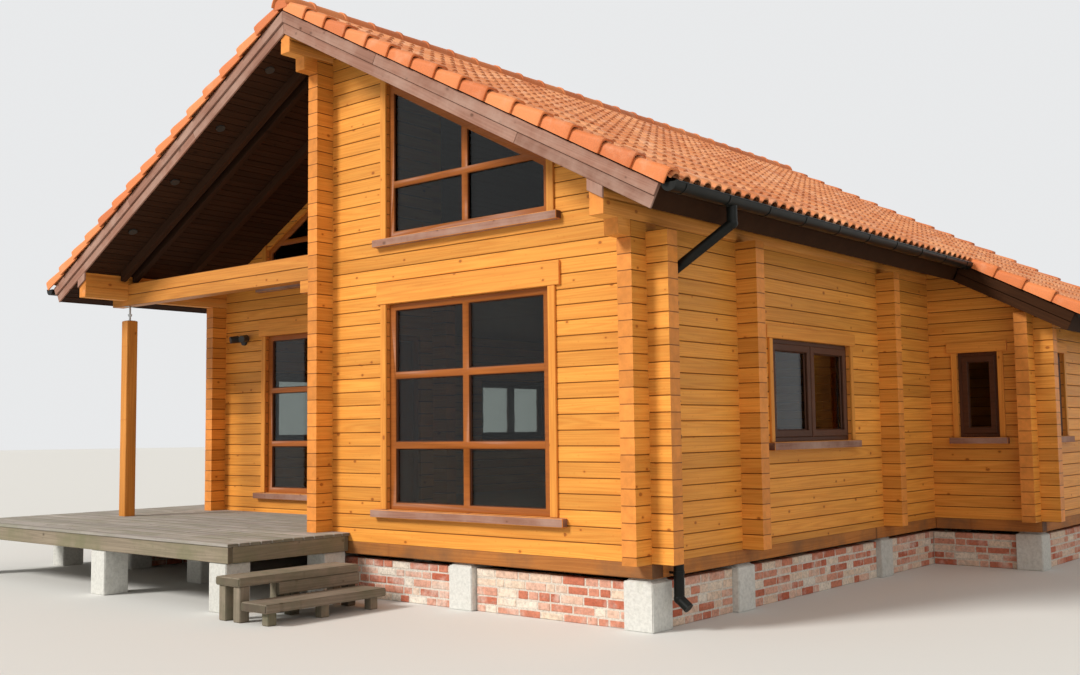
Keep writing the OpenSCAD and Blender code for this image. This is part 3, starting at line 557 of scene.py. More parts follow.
GUTTER_COAT = Metal("gutter_coat", "gutter_metal", 0.33, (0.008, 0.009, 0.008),
                    (0.019, 0.019, 0.016), specular=0.16)
GALVANISED = Metal("galvanised", "jack_steel", 0.42, (0.45, 0.46, 0.46), (0.28, 0.27, 0.25), 0.9)
LAMP_COAT = Metal("lamp_coat", "lamp_metal", 0.4, (0.035, 0.038, 0.038))
# Glass tinted dark as painted shade of the rooms behind
GLASS_WITH_PAINTED_SHADE = Glazing("glass_with_painted_shade", "glass", 0.02)


@dataclass
class Solid:
    """A mesh under construction, with its wood grain and tone as attributes."""

    bm: BMesh = field(default_factory=bmesh.new)

    def __post_init__(self) -> None:
        """Adds the layers that the materials read."""
        self.grain = self.bm.verts.layers.float_vector.new("grain")
        self.tone = self.bm.faces.layers.float.new("tone")
        self.ends = self.bm.faces.layers.float.new("ends")

    def mark(self, faces: Iterable[BMFace], axes: Axes, tone: float) -> None:
        """Stores what the materials read.

        Args:
            faces: Faces of one piece.
            axes: Directions along, through and across its fibres.
            tone: Its shade, from 0 to 1.
        """
        for v in {v for f in faces for v in f.verts}:
            v[self.grain] = Vector([v.co.dot(axis) for axis in axes])
        for f in faces:
            f.normal_update()
            f[self.tone] = tone
            f[self.ends] = float(abs(f.normal.dot(axes[0])) > END_FACE)

    def ease(self, faces: Iterable[BMFace], bevel: float) -> set[BMFace]:
        """Bevels all edges of a piece.

        Args:
            faces: Its faces.
            bevel: Width of the bevel.

        Returns:
            Its faces after that.
        """
        edges = list({e for f in faces for e in f.edges})
        new = bmesh.ops.bevel(self.bm, geom=edges, offset=bevel, segments=1, affect="EDGES")
        faces = set(new["faces"]) | {f for f in faces if f.is_valid}
        return faces | {f for g in faces for v in g.verts for f in v.link_faces}

    def loft(self, rings: list[list[BMVert]]) -> list[BMFace]:
        """Joins each closed ring of vertices to the next, and returns the faces."""
        return [self.bm.faces.new((a[i - 1], a[i], b[i], b[i - 1]))
                for a, b in zip(rings, rings[1:]) for i in range(len(a))]

    def prism(self, outline: list[Vector], way: Vector) -> list[BMFace]:
        """Adds a closed outline drawn out along a vector.

        Args:
            outline: Corners of the outline.
            way: The vector.

        Returns:
            The new faces.
        """
        near = [self.bm.verts.new(p) for p in outline]
        far = [self.bm.verts.new(p + way) for p in outline]
        faces = self.loft([near, far]) + [self.bm.faces.new(near), self.bm.faces.new(far)]
        bmesh.ops.recalc_face_normals(self.bm, faces=faces)
        return faces

    def extrude(self, outline: list[Vector], way: Vector) -> None:
        """Adds a prism of a middling shade, with sharp edges."""
        self.mark(self.prism(outline, way), (way.normalized(), Z, X + Y), 0.5)

    def plank(self, outline: list[Vector], way: Vector, along: Vector, bevel: float,
              tone: float) -> None:
        """Adds a flat board of any outline, with eased edges.

        Args:
            outline: Corners of one face.
            way: Its thickness, as a vector to the other face.
            along: Unit direction of the fibres.
            bevel: Width of the eased edges.
            tone: Shade of the board, from 0 to 1.
        """
        through = way.normalized()
        self.mark(self.ease(self.prism(outline, way), bevel),
                  (along, through, along.cross(through)), tone)

    def board(self, centre: Vector, axes: Axes, size: Triple, bevel: float,
              tone: float = 0.5) -> None:
        """Adds a box-shaped board with eased edges.

        Args:
            centre: Middle of the board.
            axes: Unit directions along, through and across the board.
            size: Sizes along these directions.
            bevel: Width of the eased edges, or 0.
            tone: Shade of this board, from 0 to 1.
        """
        place = Matrix(axes).transposed().to_4x4()
        place.translation = centre
        corners = bmesh.ops.create_cube(self.bm, size=1.0)["verts"]
        for v in corners:
            v.co = Vector(c * s for c, s in zip(v.co, size))
        faces = {f for v in corners for f in v.link_faces}
        faces = self.ease(faces, bevel) if bevel else faces
        self.mark(faces, (X, Y, Z), tone)
        for v in {v for f in faces for v in f.verts}:
            v.co = place @ v.co
        if place.determinant() < 0:
            bmesh.ops.reverse_faces(self.bm, faces=list(faces))

    def shell(self, sections: list[list[Vector]]) -> None:
        """Adds a thick shell drawn through sections.

        Args:
            sections: Closed outlines, whose second half runs back along the first.
        """
        rings = [[self.bm.verts.new(p) for p in section] for section in sections]
        self.loft(rings)
        for ring in (rings[0], rings[-1]):
            for i in range(len(ring) // 2 - 1):
                self.bm.faces.new((ring[i], ring[i + 1], ring[-2 - i], ring[-1 - i]))
        bmesh.ops.recalc_face_normals(self.bm, faces=self.bm.faces)

    def mesh(self, name: str, smooth: float = 0.0) -> Mesh:
        """Turns the work into a mesh.

        Args:
            name: Name of the mesh.
            smooth: Angle in degrees under which edges look smooth, or 0 for flat faces.

        Returns:
            The mesh.
        """
        mesh = bpy.data.meshes.new(name)
        self.bm.to_mesh(mesh)
        self.bm.free()
        if smooth:
            mesh.shade_smooth()
            mesh.set_sharp_from_angle(angle=math.radians(smooth))
        return mesh


def placed(name: str, data: bpy.types.ID) -> Object:
    """Puts a new object in the scene.

    Args:
        name: Its name.
        data: What it shows.

    Returns:
        The object.
    """
    thing = bpy.data.objects.new(name, data)
    bpy.context.scene.collection.objects.link(thing)
    return thing


def dress(name: str, finish: Finish, meshes: list[Mesh], *stands_for: str) -> None:
    """Puts a finished piece on the model.

    Args:
        name: Name of the piece.
        finish: Its finish.
        meshes: Its meshes, in place.
        stands_for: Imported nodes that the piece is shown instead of.
    """
    mesh = meshes[0]
    if len(meshes) > 1:
        bm = bmesh.new()
        for part in meshes:
            bm.from_mesh(part)
        mesh = bpy.data.meshes.new(name)
        bm.to_mesh(mesh)
        bm.free()
    # A softened mesh brings its own materials, which may be two
    if made(finish) not in list(mesh.materials):
        mesh.materials.clear()
        mesh.materials.append(made(finish))
    piece = placed(name, mesh)
    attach(piece, "root")
    if stands_for:
        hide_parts(*stands_for)
    LOG.info("%s: %d faces", name, len(mesh.polygons))


def paint(finish: Finish, *nodes: str) -> None:
    """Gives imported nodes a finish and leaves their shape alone.

    Args:
        finish: The finish.
        nodes: Names of the nodes.
    """
    for node in nodes:
        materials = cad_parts[node].data.materials
        materials.clear()
        materials.append(made(finish))


def opened(node: str) -> BMesh:
    """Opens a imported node's mesh.

    Args:
        node: Name of the node.

    Returns:
        Its mesh, with the loose triangles joined.
    """
    bm = bmesh.new()
    bm.from_mesh(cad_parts[node].data)
    bmesh.ops.remove_doubles(bm, verts=bm.verts, dist=WELD)
    return bm


def corners(group: list[BMVert]) -> tuple[Vector, Vector]:
    """Returns the lowest and the highest corner of the box round some vertices."""
    columns = list(zip(*(v.co for v in group)))
    return Vector([min(c) for c in columns]), Vector([max(c) for c in columns])


def islands(bm: BMesh) -> list[list[BMVert]]:
    """Groups the vertices of a mesh by the solid that they belong to.

    Args:
        bm: The mesh.

    Returns:
        The vertices of each solid.
    """
    seen: set[BMVert] = set()
    groups = []
    for start in bm.verts:
        if start in seen:
            continue
        seen.add(start)
        group = [start]
        for v in group:
            near = [e.other_vert(v) for e in v.link_edges]
            fresh = [w for w in near if w not in seen]
            seen.update(fresh)
            group += fresh
        groups.append(group)
    return groups


def longest_way(points: list[Vector]) -> tuple[Vector, Vector]:
    """Finds the way a board runs.

    Args:
        points: Corners of the board.

    Returns:
        Unit directions along the board and across its wider side.
    """
    frames = [(X, Y, Z), (Y, X, Z), (Z, X, Y)]
    frames += [(slope.up, Y, slope.up.cross(Y)) for slope in Slope]

    def reach(way: Vector) -> float:
        """Extent of the points along a direction."""
        places = [p.dot(way) for p in points]
        return max(places) - min(places)

    volumes = [math.prod(map(reach, axes)) for axes in frames]
    fitting = [axes for axes, volume in zip(frames, volumes) if volume < min(volumes) * 1.02]
    along, *sides = max(fitting, key=lambda axes: reach(axes[0]))
    return along, sorted(sides, key=reach)[1]


def soften(node: str, finish: Finish, bevel: float, seed: int, other: Finish | None = None,
           is_other: Callable[[Vector, Vector], bool] = lambda low, high: False) -> None:
    """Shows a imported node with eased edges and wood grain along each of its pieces.

    Args:
        node: Name of the node.
        finish: Its finish.
        bevel: Width of the eased edges.
        seed: Seed of the pieces' shades.
        other: A second finish, for some of its pieces.
        is_other: Tells from a piece's lowest and highest corner whether it has that finish.
    """
    draw = random.Random(seed)
    bm = opened(node)
    bmesh.ops.dissolve_limit(bm, angle_limit=0.01, verts=bm.verts, edges=bm.edges)
    work = Solid(bm)
    for group in islands(bm):
        along, across = longest_way([v.co for v in group])
        faces = {f for v in group for f in v.link_faces}
        work.mark(faces, (along, along.cross(across), across), draw.random())
        chosen = int(is_other(*corners(group)))
        for f in faces:
            f.material_index = chosen
    sharp = [e for e in bm.edges if len(e.link_faces) == 2 and e.calc_face_angle(0.0) > 0.5]
    bmesh.ops.bevel(bm, geom=sharp, offset=bevel, segments=2, affect="EDGES", clamp_overlap=True)
    mesh = work.mesh(f"{node}_eased", SMOOTH)
    for used in (finish, other):
        if used:
            mesh.materials.append(made(used))
    dress(f"{node}_eased", finish, [mesh], node)


@dataclass
class Repeat:
    """Rows and columns of one piece, set out by Geometry Nodes.

    `shift` and `turn` are the most that a piece may lie off its place.
    """

    rows: int
    columns: int
    start: Vector
    row_step: Vector
    column_step: Vector | Triple = NONE
    shift: Triple = NONE
    turn: Triple = NONE
    seed: int = 1

    def tree(self) -> bpy.types.NodeTree:
        """Builds the nodes.

        Returns:
            A tree that sets out its input geometry over a grid of points.
        """
        group = bpy.data.node_groups.new("set_out_pieces", "GeometryNodeTree")
        for way in ("INPUT", "OUTPUT"):
            group.interface.new_socket("Geometry", in_out=way, socket_type="NodeSocketGeometry")
        nodes = NodeTree(group)
        rows = nodes.add("GeometryNodeMeshLine", {
            "Count": self.rows, "Start Location": self.start, "Offset": self.row_step},
            mode="OFFSET")
        columns = nodes.add("GeometryNodeMeshLine", {
            "Count": self.columns, "Offset": self.column_step}, mode="OFFSET")
        grid = nodes.add("GeometryNodeInstanceOnPoints", {
            "Points": rows.outputs[0], "Instance": columns.outputs[0]})
        spread = nodes.add("GeometryNodeRealizeInstances", {0: grid.outputs[0]})
        shift, turn = (nodes.add("FunctionNodeRandomValue", {
            "Min": [-v for v in most], "Max": most, "Seed": seed},
            data_type="FLOAT_VECTOR").outputs[0]
            for most, seed in ((self.shift, self.seed), (self.turn, self.seed + 7)))
        shade = nodes.add("FunctionNodeRandomValue", {"Seed": self.seed + 13}, data_type="FLOAT")
        loose = nodes.add("GeometryNodeSetPosition", {
            "Geometry": spread.outputs[0], "Offset": shift})
        laid = nodes.add("GeometryNodeInstanceOnPoints", {
            "Points": loose.outputs[0], "Rotation": turn,
            "Instance": nodes.add("NodeGroupInput").outputs[0]})
        toned = nodes.add("GeometryNodeStoreNamedAttribute", {
            "Geometry": laid.outputs[0], "Name": "tone", "Value": shade.outputs[1]},
            data_type="FLOAT", domain="INSTANCE")
        real = nodes.add("GeometryNodeRealizeInstances", {0: toned.outputs[0]})
        nodes.add("NodeGroupOutput", {0: real.outputs[0]})
        return group

    def lay(self, work: Solid, smooth: float = 0.0) -> Mesh:
        """Sets out the pieces.

        Args:
            work: One piece, about its own origin.
            smooth: Angle in degrees under which edges look smooth, or 0 for flat faces.

        Returns:
            One plain mesh of all of them, each with a tone of its own.
        """
        work.bm.faces.layers.float.remove(work.tone)
        bearer = placed("bearer", work.mesh("unit", smooth))
        bearer.modifiers.new("set_out", "NODES").node_group = self.tree()
        graph = bpy.context.evaluated_depsgraph_get()
        mesh = bpy.data.meshes.new_from_object(bearer.evaluated_get(graph))
        bpy.data.objects.remove(bearer)
        return mesh


@dataclass
class LogWalls:
    """The walls of squared logs, the beams and the floors behind them."""

    across: tuple[str, ...] = ("front_wall", "porch_back_wall", "back_wall", "wing_front_wall",
                               "cross_wall_stubs")
    lengthwise: tuple[str, ...] = ("porch_side_wall", "left_wall", "right_wall", "wing_side_wall")

    def build(self) -> None:
        """Gives the walls their glaze and the beams and floors theirs."""
        paint(replace(LOG_GLAZE, grain=Grain.ALONG_X), *self.across)
        paint(replace(LOG_GLAZE, grain=Grain.ALONG_Y), *self.lengthwise)
        paint(replace(BEAM_GLAZE, grain=Grain.ALONG_X), "porch_beam")
        soften("roof_purlins", BEAM_GLAZE, 0.004, 12)
        paint(FLOOR_WAX, "ground_floor", "loft_floor")


@dataclass
class Roof:
    """Soffit boards, tiles, verges, ridge caps and edge boards of the roof."""

    cover: float = 0.3014
    roll_height: float = 0.040
    roll_reach: float = 0.33
    thickness: float = 0.014
    pan_lift: float = 0.088
    head_drop: float = 0.022
    overlap: float = 0.076
    nose_in: float = 0.047
    side_in: float = 0.03
    verge_width: float = 0.155
    verge_low: float = 0.013
    verge_high: float = 0.145
    verge_round: float = 0.045
    verge_thickness: float = 0.015
    verge_nose_in: float = 0.059
    cap_radius: float = 0.125
    cap_thickness: float = 0.016
    cap_lift: float = 0.045
    caps: int = 26
    barge_thickness: float = 0.02
    barge_gap: float = 0.004
    barge_past: float = 0.025
    barge_top: float = 0.001
    barge_bevel: float = 0.003
    cover_past: float = 0.006
    cover_depths: tuple[float, float] = (0.002, 0.097)
    board_pitch: float = 0.098
    board_gap: float = 0.004
    board_bevel: float = 0.005
    board_thickness: float = 0.02

    def roll(self, across: float) -> float:
        """Height of a tile's top over its pan, at a place across it."""
        off = abs((across / (self.cover / 2)) % 1.0 - 0.5) / self.roll_reach
        return self.roll_height * math.sqrt(1 - off * off) if off < 1 else 0.0

    def tile(self, slope: Slope) -> Solid:
        """Builds one double-roll tile.

        Args:
            slope: The slope that it lies on.

        Returns:
            The tile, with its origin under the corner of its nose.
        """
        marks = (0.0, 0.17, 0.19, 0.24, 0.32, 0.42, 0.5, 0.58, 0.68, 0.76, 0.81, 0.83)
        half = self.cover / 2
        places = [(k + m) * half for k in (0, 1) for m in marks] + [self.cover + 0.004]
        walk = [(p, 0.0) for p in places] + [(p, self.thickness) for p in reversed(places)]
        stations = ((0.0, 0.004), (0.010, 0.0), (HOUSE.gauge + self.overlap, self.head_drop))
        work = Solid()
        work.shell([[Y * slope.value * p + slope.up * reach
                     + slope.out * (self.pan_lift + self.roll(p) - drop - under)
                     for p, under in walk] for reach, drop in stations])
        return work

    def tiles(self, name: str, slope: Slope, edge: float, rows: int, y0: float, y1: float,
              seed: int) -> None:
        """Lays the tiles of one roof plane.

        Args:
            name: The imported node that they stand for.
            slope: The slope they lie on.
            edge: Level distance from the ridge to the end of the boarding.
            rows: Number of courses.
            y0: Front edge of the plane.
            y1: Back edge of the plane.
            seed: Seed of the small differences between tiles.
        """
        columns = round((y1 - y0) / self.cover)
        first = y0 if slope is Slope.RIGHT else y1
        start = HOUSE.on_slope(slope, edge + HOUSE.tile_past - self.nose_in, 0, first)
        layout = Repeat(rows, columns, start, slope.up * HOUSE.gauge,
                        Y * slope.value * ((y1 - y0) / columns), (0.0015, 0.001, 0.0012),
                        (0.004, 0.004, 0.003), seed)
        # The field tiles' paler colour is partly painted sun glare
        dress(f"{name}_laid", FIELD_TILE_AND_GLARE, [layout.lay(self.tile(slope), TILE_SMOOTH)], name)

    def verge_tile(self, slope: Slope, outward: int) -> Solid:
        """Builds one verge tile, with a rounded arris and a slimmer head.

        Args:
            slope: The slope that it lies on.
            outward: -1 for a verge that faces the front, 1 for the back.

        Returns:
            The tile, with its origin under the foot of its nose.
        """
        r, t, width, high = (self.verge_round, self.verge_thickness, self.verge_width,
                             self.verge_high)
        profile = [(0.0, self.verge_low)]
        profile += [(r - u, high - r + v) for u, v in arc(r, 7, math.pi / 2)]
        profile += [(width - 0.03, high), (width, high - 0.012), (width, high - 0.03),
                    (width - 0.03, high - t)]
        profile += [(r - u, high - r + v) for u, v in reversed(arc(r - t, 7, math.pi / 2))]
        profile.append((t, self.verge_low))
        stations = ((0.0, 0.003), (0.006, 0.0), (0.06, 0.001), (HOUSE.gauge + 0.03, 0.026))
        work = Solid()
        work.shell([[Y * -outward * (q + tuck * (q < width / 2)) + slope.up * reach
                     + slope.out * (h - tuck * 1.3 * (h > 0.05))
                     for q, h in profile] for reach, tuck in stations])
        return work

    def verges(self) -> None:
        """Lays the verge tiles of both gables and of the wing."""
        lines = [(slope, way, HOUSE.edge, HOUSE.rows, y) for slope in Slope
                 for way, y in ((-1, HOUSE.verge_front), (1, HOUSE.verge_back))]
        lines += [(Slope.RIGHT, way, HOUSE.wing_edge, HOUSE.wing_rows, y)
                  for way, y in ((-1, HOUSE.wing_front - HOUSE.verge_past),
                                 (1, HOUSE.verge_back))]
        meshes = []
        for number, (slope, way, edge, rows, y) in enumerate(lines):
            start = HOUSE.on_slope(slope, edge + HOUSE.tile_past - self.verge_nose_in, 0, y)
            layout = Repeat(rows, 1, start, slope.up * HOUSE.gauge, NONE, (0.001, 0.0, 0.001),
                            (0.003, 0.003, 0.002), 40 + number)
            meshes.append(layout.lay(self.verge_tile(slope, way), TILE_SMOOTH))
        dress("verge_tiles_laid", CLAY_TILE, meshes, "verge_tiles")

    def ridge_cap(self, step: float) -> Solid:
        """Builds one half-round ridge cap with a rolled collar, drawn along Y.

        Args:
            step: Distance from one cap to the next.

        Returns:
            The cap, with its origin in the middle of its collar.
        """
        stations = ((0.0, 0.004), (0.006, 0.012), (0.034, 0.012), (0.042, 0.001),
                    (step * 0.6, -0.002), (step + 0.03, -0.006))
        sections = []
        for place, more in stations:
            radius = self.cap_radius + more
            inner = arc(radius - self.cap_thickness, 21, math.pi)
            sections.append([Vector((u, -place, v))
                             for u, v in arc(radius, 21, math.pi) + inner[::-1]])
        work = Solid()
        work.shell(sections)
        return work

    def ridge(self) -> None:
        """Lays the ridge caps and closes the ridge at both gables."""
        step = (HOUSE.verge_back - HOUSE.verge_front) / self.caps
        base = HOUSE.apex + self.cap_lift
        layout = Repeat(self.caps, 1, at(HOUSE.ridge, HOUSE.verge_back, base), Y * -step, NONE,
                        (0.001, 0.0, 0.001), (0.002, 0.002, 0.002), 71)
        mesh = layout.lay(self.ridge_cap(step), TILE_SMOOTH)
        # The last cap's slim end stops at the front verge
        bm = bmesh.new()
        bm.from_mesh(mesh)
        cut = bmesh.ops.bisect_plane(bm, geom=bm.verts[:] + bm.edges[:] + bm.faces[:],
                                     plane_co=at(0, HOUSE.verge_front, 0), plane_no=-Y,
                                     clear_outer=True)
        bmesh.ops.holes_fill(bm, edges=[e for e in cut["geom_cut"] if isinstance(e, BMEdge)])
        bm.to_mesh(mesh)
        bm.free()
        ends = Solid()
        for y in (HOUSE.verge_front + 0.02, HOUSE.verge_back - 0.035):
            ends.extrude([at(HOUSE.ridge + u, y, base + v - 0.03)
                          for u, v in arc(self.cap_radius - 0.018, 17, math.pi)], Y * 0.015)
        dress("ridge_tiles_laid", CLAY_TILE, [mesh, ends.mesh("ridge_ends", TILE_SMOOTH)],
              "ridge_tiles")

    def boarding(self, node: str, slope: Slope, run0: float, run1: float, y0: float,
                 seed: int) -> None:
        """Builds the roof's body with soffit boards on its underside.

        Args:
            node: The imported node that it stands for.
            slope: Its slope.
            run0: Level distance from the ridge to its upper edge.
            run1: Level distance from the ridge to its lower edge.
            y0: Front edge. The back edge is the gable's.
            seed: Seed of the boards' shades.
        """
        length, depth = HOUSE.back - y0, HOUSE.roof_pack
        body = depth - self.board_thickness
        core = Solid()
        core.extrude([HOUSE.plumb(slope, run0, 0, y0), HOUSE.on_slope(slope, run1, 0, y0),
                      HOUSE.on_slope(slope, run1, -body, y0),
                      HOUSE.plumb(slope, run0, -body, y0)], Y * length)
        plank = Solid()
        plank.board(Vector(), (Y, slope.out, slope.up),
                    (length, self.board_thickness, self.board_pitch - self.board_gap),
                    self.board_bevel)
        covered = (run1 - run0) / COS - (0 if run0 else depth * RISE)
        start = HOUSE.on_slope(slope, run1, self.board_thickness / 2 - depth, y0 + length / 2)
        layout = Repeat(int(covered / self.board_pitch), 1,
                        start + slope.up * (self.board_pitch / 2), slope.up * self.board_pitch,
                        shift=(0.0, 0.0, 0.0015), seed=seed)
        # The soffit boards' near-black colour is partly dark stain, partly painted shade
        dress(f"{node}_boards", SOFFIT_STAIN_AND_SHADE, [core.mesh("core"), layout.lay(plank)], node)

    def barge(self, work: Solid, slope: Slope, runs: tuple[float, float], face: float,
              outward: int, joints: tuple[float, ...], draw: random.Random) -> None:
        """Adds the two layers of one barge board, with butt joints, and the strip between them.

        Args:
            work: Solid to add to.
            slope: The slope that it follows.
            runs: Level distances of its upper and lower ends from the ridge.
            face: Outer face of the roof's edge, along Y.
            outward: -1 where it faces the front, 1 where it faces the back.
            joints: Where the lower and the upper board are joined, as shares of the length,
                or nothing where each is one length.
            draw: Source of the shades.
        """
        t, gap, split = self.barge_thickness, self.barge_gap, HOUSE.roof_pack / 2
        layers = ((split + gap, HOUSE.roof_pack, t, joints[:1]), (0.0, split, 2 * t, joints[1:]),
                  (split - gap, split + 2 * gap, t * 0.55, ()))
        for low, high, depth, joint in layers:
            stops = [0.0, *joint, 1.0]
            for a, b in zip(stops, stops[1:]):
                head = runs[0] + (runs[1] - runs[0]) * a + (0.001 if a else 0.0)
                foot = runs[0] + (runs[1] - runs[0]) * b - (0.001 if b < 1.0 else 0.0)
                # At the apex the boards of both slopes meet in a plumb joint
                above = HOUSE.plumb if head <= self.barge_top else HOUSE.on_slope
                work.plank([above(slope, head, -low, face),
                            HOUSE.on_slope(slope, foot, -low, face),
                            HOUSE.on_slope(slope, foot, -high, face),
                            above(slope, head, -high, face)], Y * (outward * depth), -slope.up,
                           self.barge_bevel, draw.random())

    def barges(self) -> None:
        """Builds the barge boards of the gables and the wing, and the purlin covers."""
        draw = random.Random(5)
        work, shaded = Solid(), Solid()
        end, wing_end = HOUSE.edge + self.barge_past, HOUSE.wing_edge + self.barge_past
        for slope, foot, face, outward, joints in (
                (Slope.LEFT, end, HOUSE.front, -1, (0.36, 0.63)),
                (Slope.RIGHT, end, HOUSE.front, -1, (0.70, 0.31)),
                (Slope.LEFT, end, HOUSE.back, 1, (0.42, 0.66)),
                (Slope.RIGHT, wing_end, HOUSE.back, 1, (0.58, 0.28))):
            self.barge(work, slope, (self.barge_top, foot), face, outward, joints, draw)
        t, (high, low) = self.barge_thickness, self.cover_depths
        for x in (-HOUSE.width, -HOUSE.log):
            (x0, z0), (x1, z1) = [(v, HOUSE.roof_under(v)) for v in
                                  (x - self.cover_past, x + HOUSE.log + self.cover_past)]
            for y in (HOUSE.front - t, HOUSE.back):
                work.plank([at(x0, y, z0 - high), at(x1, y, z1 - high), at(x1, y, z1 - low),
                            at(x0, y, z0 - low)], Y * t, Z, self.barge_bevel, draw.random())
        # The wing's barge boards are made near-black as painted shade from the main roof
        self.barge(shaded, Slope.RIGHT, (end, wing_end), HOUSE.wing_front, -1, (), draw)
        dress("barge_planks", TRIM_STAIN, [work.mesh("barge_planks")], "barge_boards")
        dress("wing_barge_planks", EAVES_STAIN_AND_SHADE, [shaded.mesh("wing_barge_planks")])

    def build(self) -> None:
        """Builds every part of the roof."""
        y0, y1 = HOUSE.verge_front + self.side_in, HOUSE.verge_back - self.side_in
        wing_y0 = HOUSE.wing_front - HOUSE.verge_past + self.side_in
        for name, slope, edge, rows, start, seed in (
                ("left_roof_tiles", Slope.LEFT, HOUSE.edge, HOUSE.rows, y0, 3),
                ("right_roof_tiles", Slope.RIGHT, HOUSE.edge, HOUSE.rows, y0, 4),
                ("wing_roof_tiles", Slope.RIGHT, HOUSE.wing_edge, HOUSE.wing_rows, wing_y0, 5)):
            self.tiles(name, slope, edge, rows, start, y1, seed)
        self.verges()
        self.ridge()
        self.boarding("left_roof_boarding", Slope.LEFT, 0.0, HOUSE.edge, HOUSE.front, 21)
        self.boarding("right_roof_boarding", Slope.RIGHT, 0.0, HOUSE.edge, HOUSE.front, 22)
        self.boarding("wing_roof_boarding", Slope.RIGHT, HOUSE.edge, HOUSE.wing_edge,
                      HOUSE.wing_front, 23)
        self.barges()
        # The fascia boards are made near-black as painted shade under the gutter
        soften("eaves_boards", EAVES_STAIN_AND_SHADE, 0.004, 6)
        # The battens' near-black colour is partly dark stain, partly painted shade
        paint(replace(SOFFIT_STAIN_AND_SHADE, grain=Grain.ALONG_Y), "tile_battens")


@dataclass
class RainWater:
    """Gutters, their brackets and rims, and the downpipes with their clips."""

    radius: float = 0.07
    out: float = 0.12
    drop: float = 0.02
    past: float = 0.045
    strap: float = 0.025
    strap_thickness: float = 0.004
    strap_tail: float = 0.05
    bracket_pitch: float = 0.62
    bracket_in: float = 0.14
    bracket_rest: float = 0.3
    rim: float = 0.007
    pipe_out: float = 0.095
    # Height over the clip, radius and depth of the clip and of the pipe's socket
    rings: tuple[Triple, ...] = ((0.0, 0.048, 0.03), (0.3, 0.047, 0.012))
    stay: Triple = (0.05, 0.012, 0.02)
    stay_out: float = 0.068

    def line(self, x: float, z: float, y0: float, y1: float, outward: int,
             seed: int) -> list[Mesh]:
        """Makes the brackets and the rolled rim of one gutter.

        Args:
            x: Middle of the gutter.
            z: Height of its rim.
            y0: Front end.
            y1: Back end.
            outward: Sign of X on the side away from the wall.
            seed: Seed of the brackets' shades.

        Returns:
            The meshes.
        """
        inner = self.radius + 0.001
        outer = inner + self.strap_thickness
        profile = arc(outer, 15, math.pi)
        profile += [(-outer, -self.strap_tail), (-inner, -self.strap_tail)]
        profile += arc(inner, 15, math.pi)[::-1]
        strap, rim = Solid(), Solid()
        strap.extrude([Vector((outward * u, 0, -v)) for u, v in profile], Y * self.strap)
        length = y1 - y0 - self.bracket_rest
        count = int(length / self.bracket_pitch) + 1
        layout = Repeat(count, 1, at(x, y0 + self.bracket_in, z), Y * (length / (count - 1)),
                        shift=(0.0, 0.01, 0.0), seed=seed)
        edge = x + outward * (self.radius - 0.003)
        rim.extrude([at(edge + u, y0, z + v) for u, v in arc(self.rim, 12)], Y * (y1 - y0))
        return [layout.lay(strap, SMOOTH), rim.mesh("rim", SMOOTH)]

    def clip(self, work: Solid, x: float, y: float, z: float, toward: int) -> None:
        """Adds a pipe clip and its stay.

        Args:
            work: Solid to add to.
            x: Middle of the pipe.
            y: Middle of the pipe.
            z: Height of the clip.
            toward: Sign of X on the side of the wall.
        """
        for above, radius, high in self.rings:
            work.extrude([at(x + u, y + v, z + above) for u, v in arc(radius, 24)], Z * high)
        work.board(at(x + toward * self.stay_out, y, z + self.rings[0][2] / 2), (X, Y, Z),
                   self.stay, 0.001)

    def build(self) -> None:
        """Builds the fittings of all three gutters."""
        paint(GUTTER_COAT, "gutters", "downpipes")
        height = HOUSE.apex - RISE * HOUSE.edge - self.drop
        wing_height = height - RISE * (HOUSE.wing_edge - HOUSE.edge)
        x, wing_x = HOUSE.eaves_over + self.out, HOUSE.wing_edge + HOUSE.ridge + self.out
        y0, y1, wing_y = HOUSE.front - self.past, HOUSE.back + self.past, HOUSE.wing_front
        meshes = [*self.line(x, height, y0, wing_y - 0.095, 1, 81),
                  *self.line(-HOUSE.width - x, height, y0, y1, -1, 82),
                  *self.line(wing_x, wing_height, wing_y - self.past, y1, 1, 83)]
        clips = Solid()
        back = HOUSE.length - 0.26
        for z in (-0.1, 1.0, 2.1):
            self.clip(clips, self.pipe_out, 0.24, z, -1)
            self.clip(clips, -HOUSE.width - self.pipe_out, back, z, 1)
        for z in (-0.1, 1.3):
            self.clip(clips, HOUSE.wing_width + self.pipe_out, back, z, -1)
        dress("gutter_fittings", GUTTER_COAT, meshes + [clips.mesh("clips", SMOOTH)])


@dataclass(frozen=True)
class WindowPlace:
    """One window: where it stands, its size and its lights.

    `turn` is 0 for a wall along X that is seen from the front, 90 for the right, 180 for the
    back and 270 for the left. `edge` and `bar` are the widths and heights of the frame's
    outer and inner members.
    """

    x: float
    y: float
    z: float
    width: float
    height: float
    turn: int
    edge: tuple[float, float]
    bar: tuple[float, float]
    posts: tuple[float, ...] = ()
    rails: tuple[float, ...] = ()
    opens: bool = False

    def lights(self) -> list[tuple[float, float, float, float]]:
        """Works out the panes.

        Returns:
            Left, right, low and high edges of each.
        """
        half_x, half_z = self.bar[0] / 2, self.bar[1] / 2
        xs = [self.edge[0] - half_x, *self.posts, self.width - self.edge[0] + half_x]
        zs = [self.edge[1] - half_z, *self.rails, self.height - self.edge[1] + half_z]
        return [(a + half_x, b - half_x, c + half_z, d - half_z)
                for a, b in zip(xs, xs[1:]) for c, d in zip(zs, zs[1:])]

    def point(self, u: float, depth: float, v: float) -> Vector:
        """Turns a place on the window, seen from outside, into one in the row's frame."""
        turn = Matrix.Rotation(math.radians(self.turn), 3, "Z")
        return at(self.x, self.y, self.z) + turn @ Vector((u, depth, v))


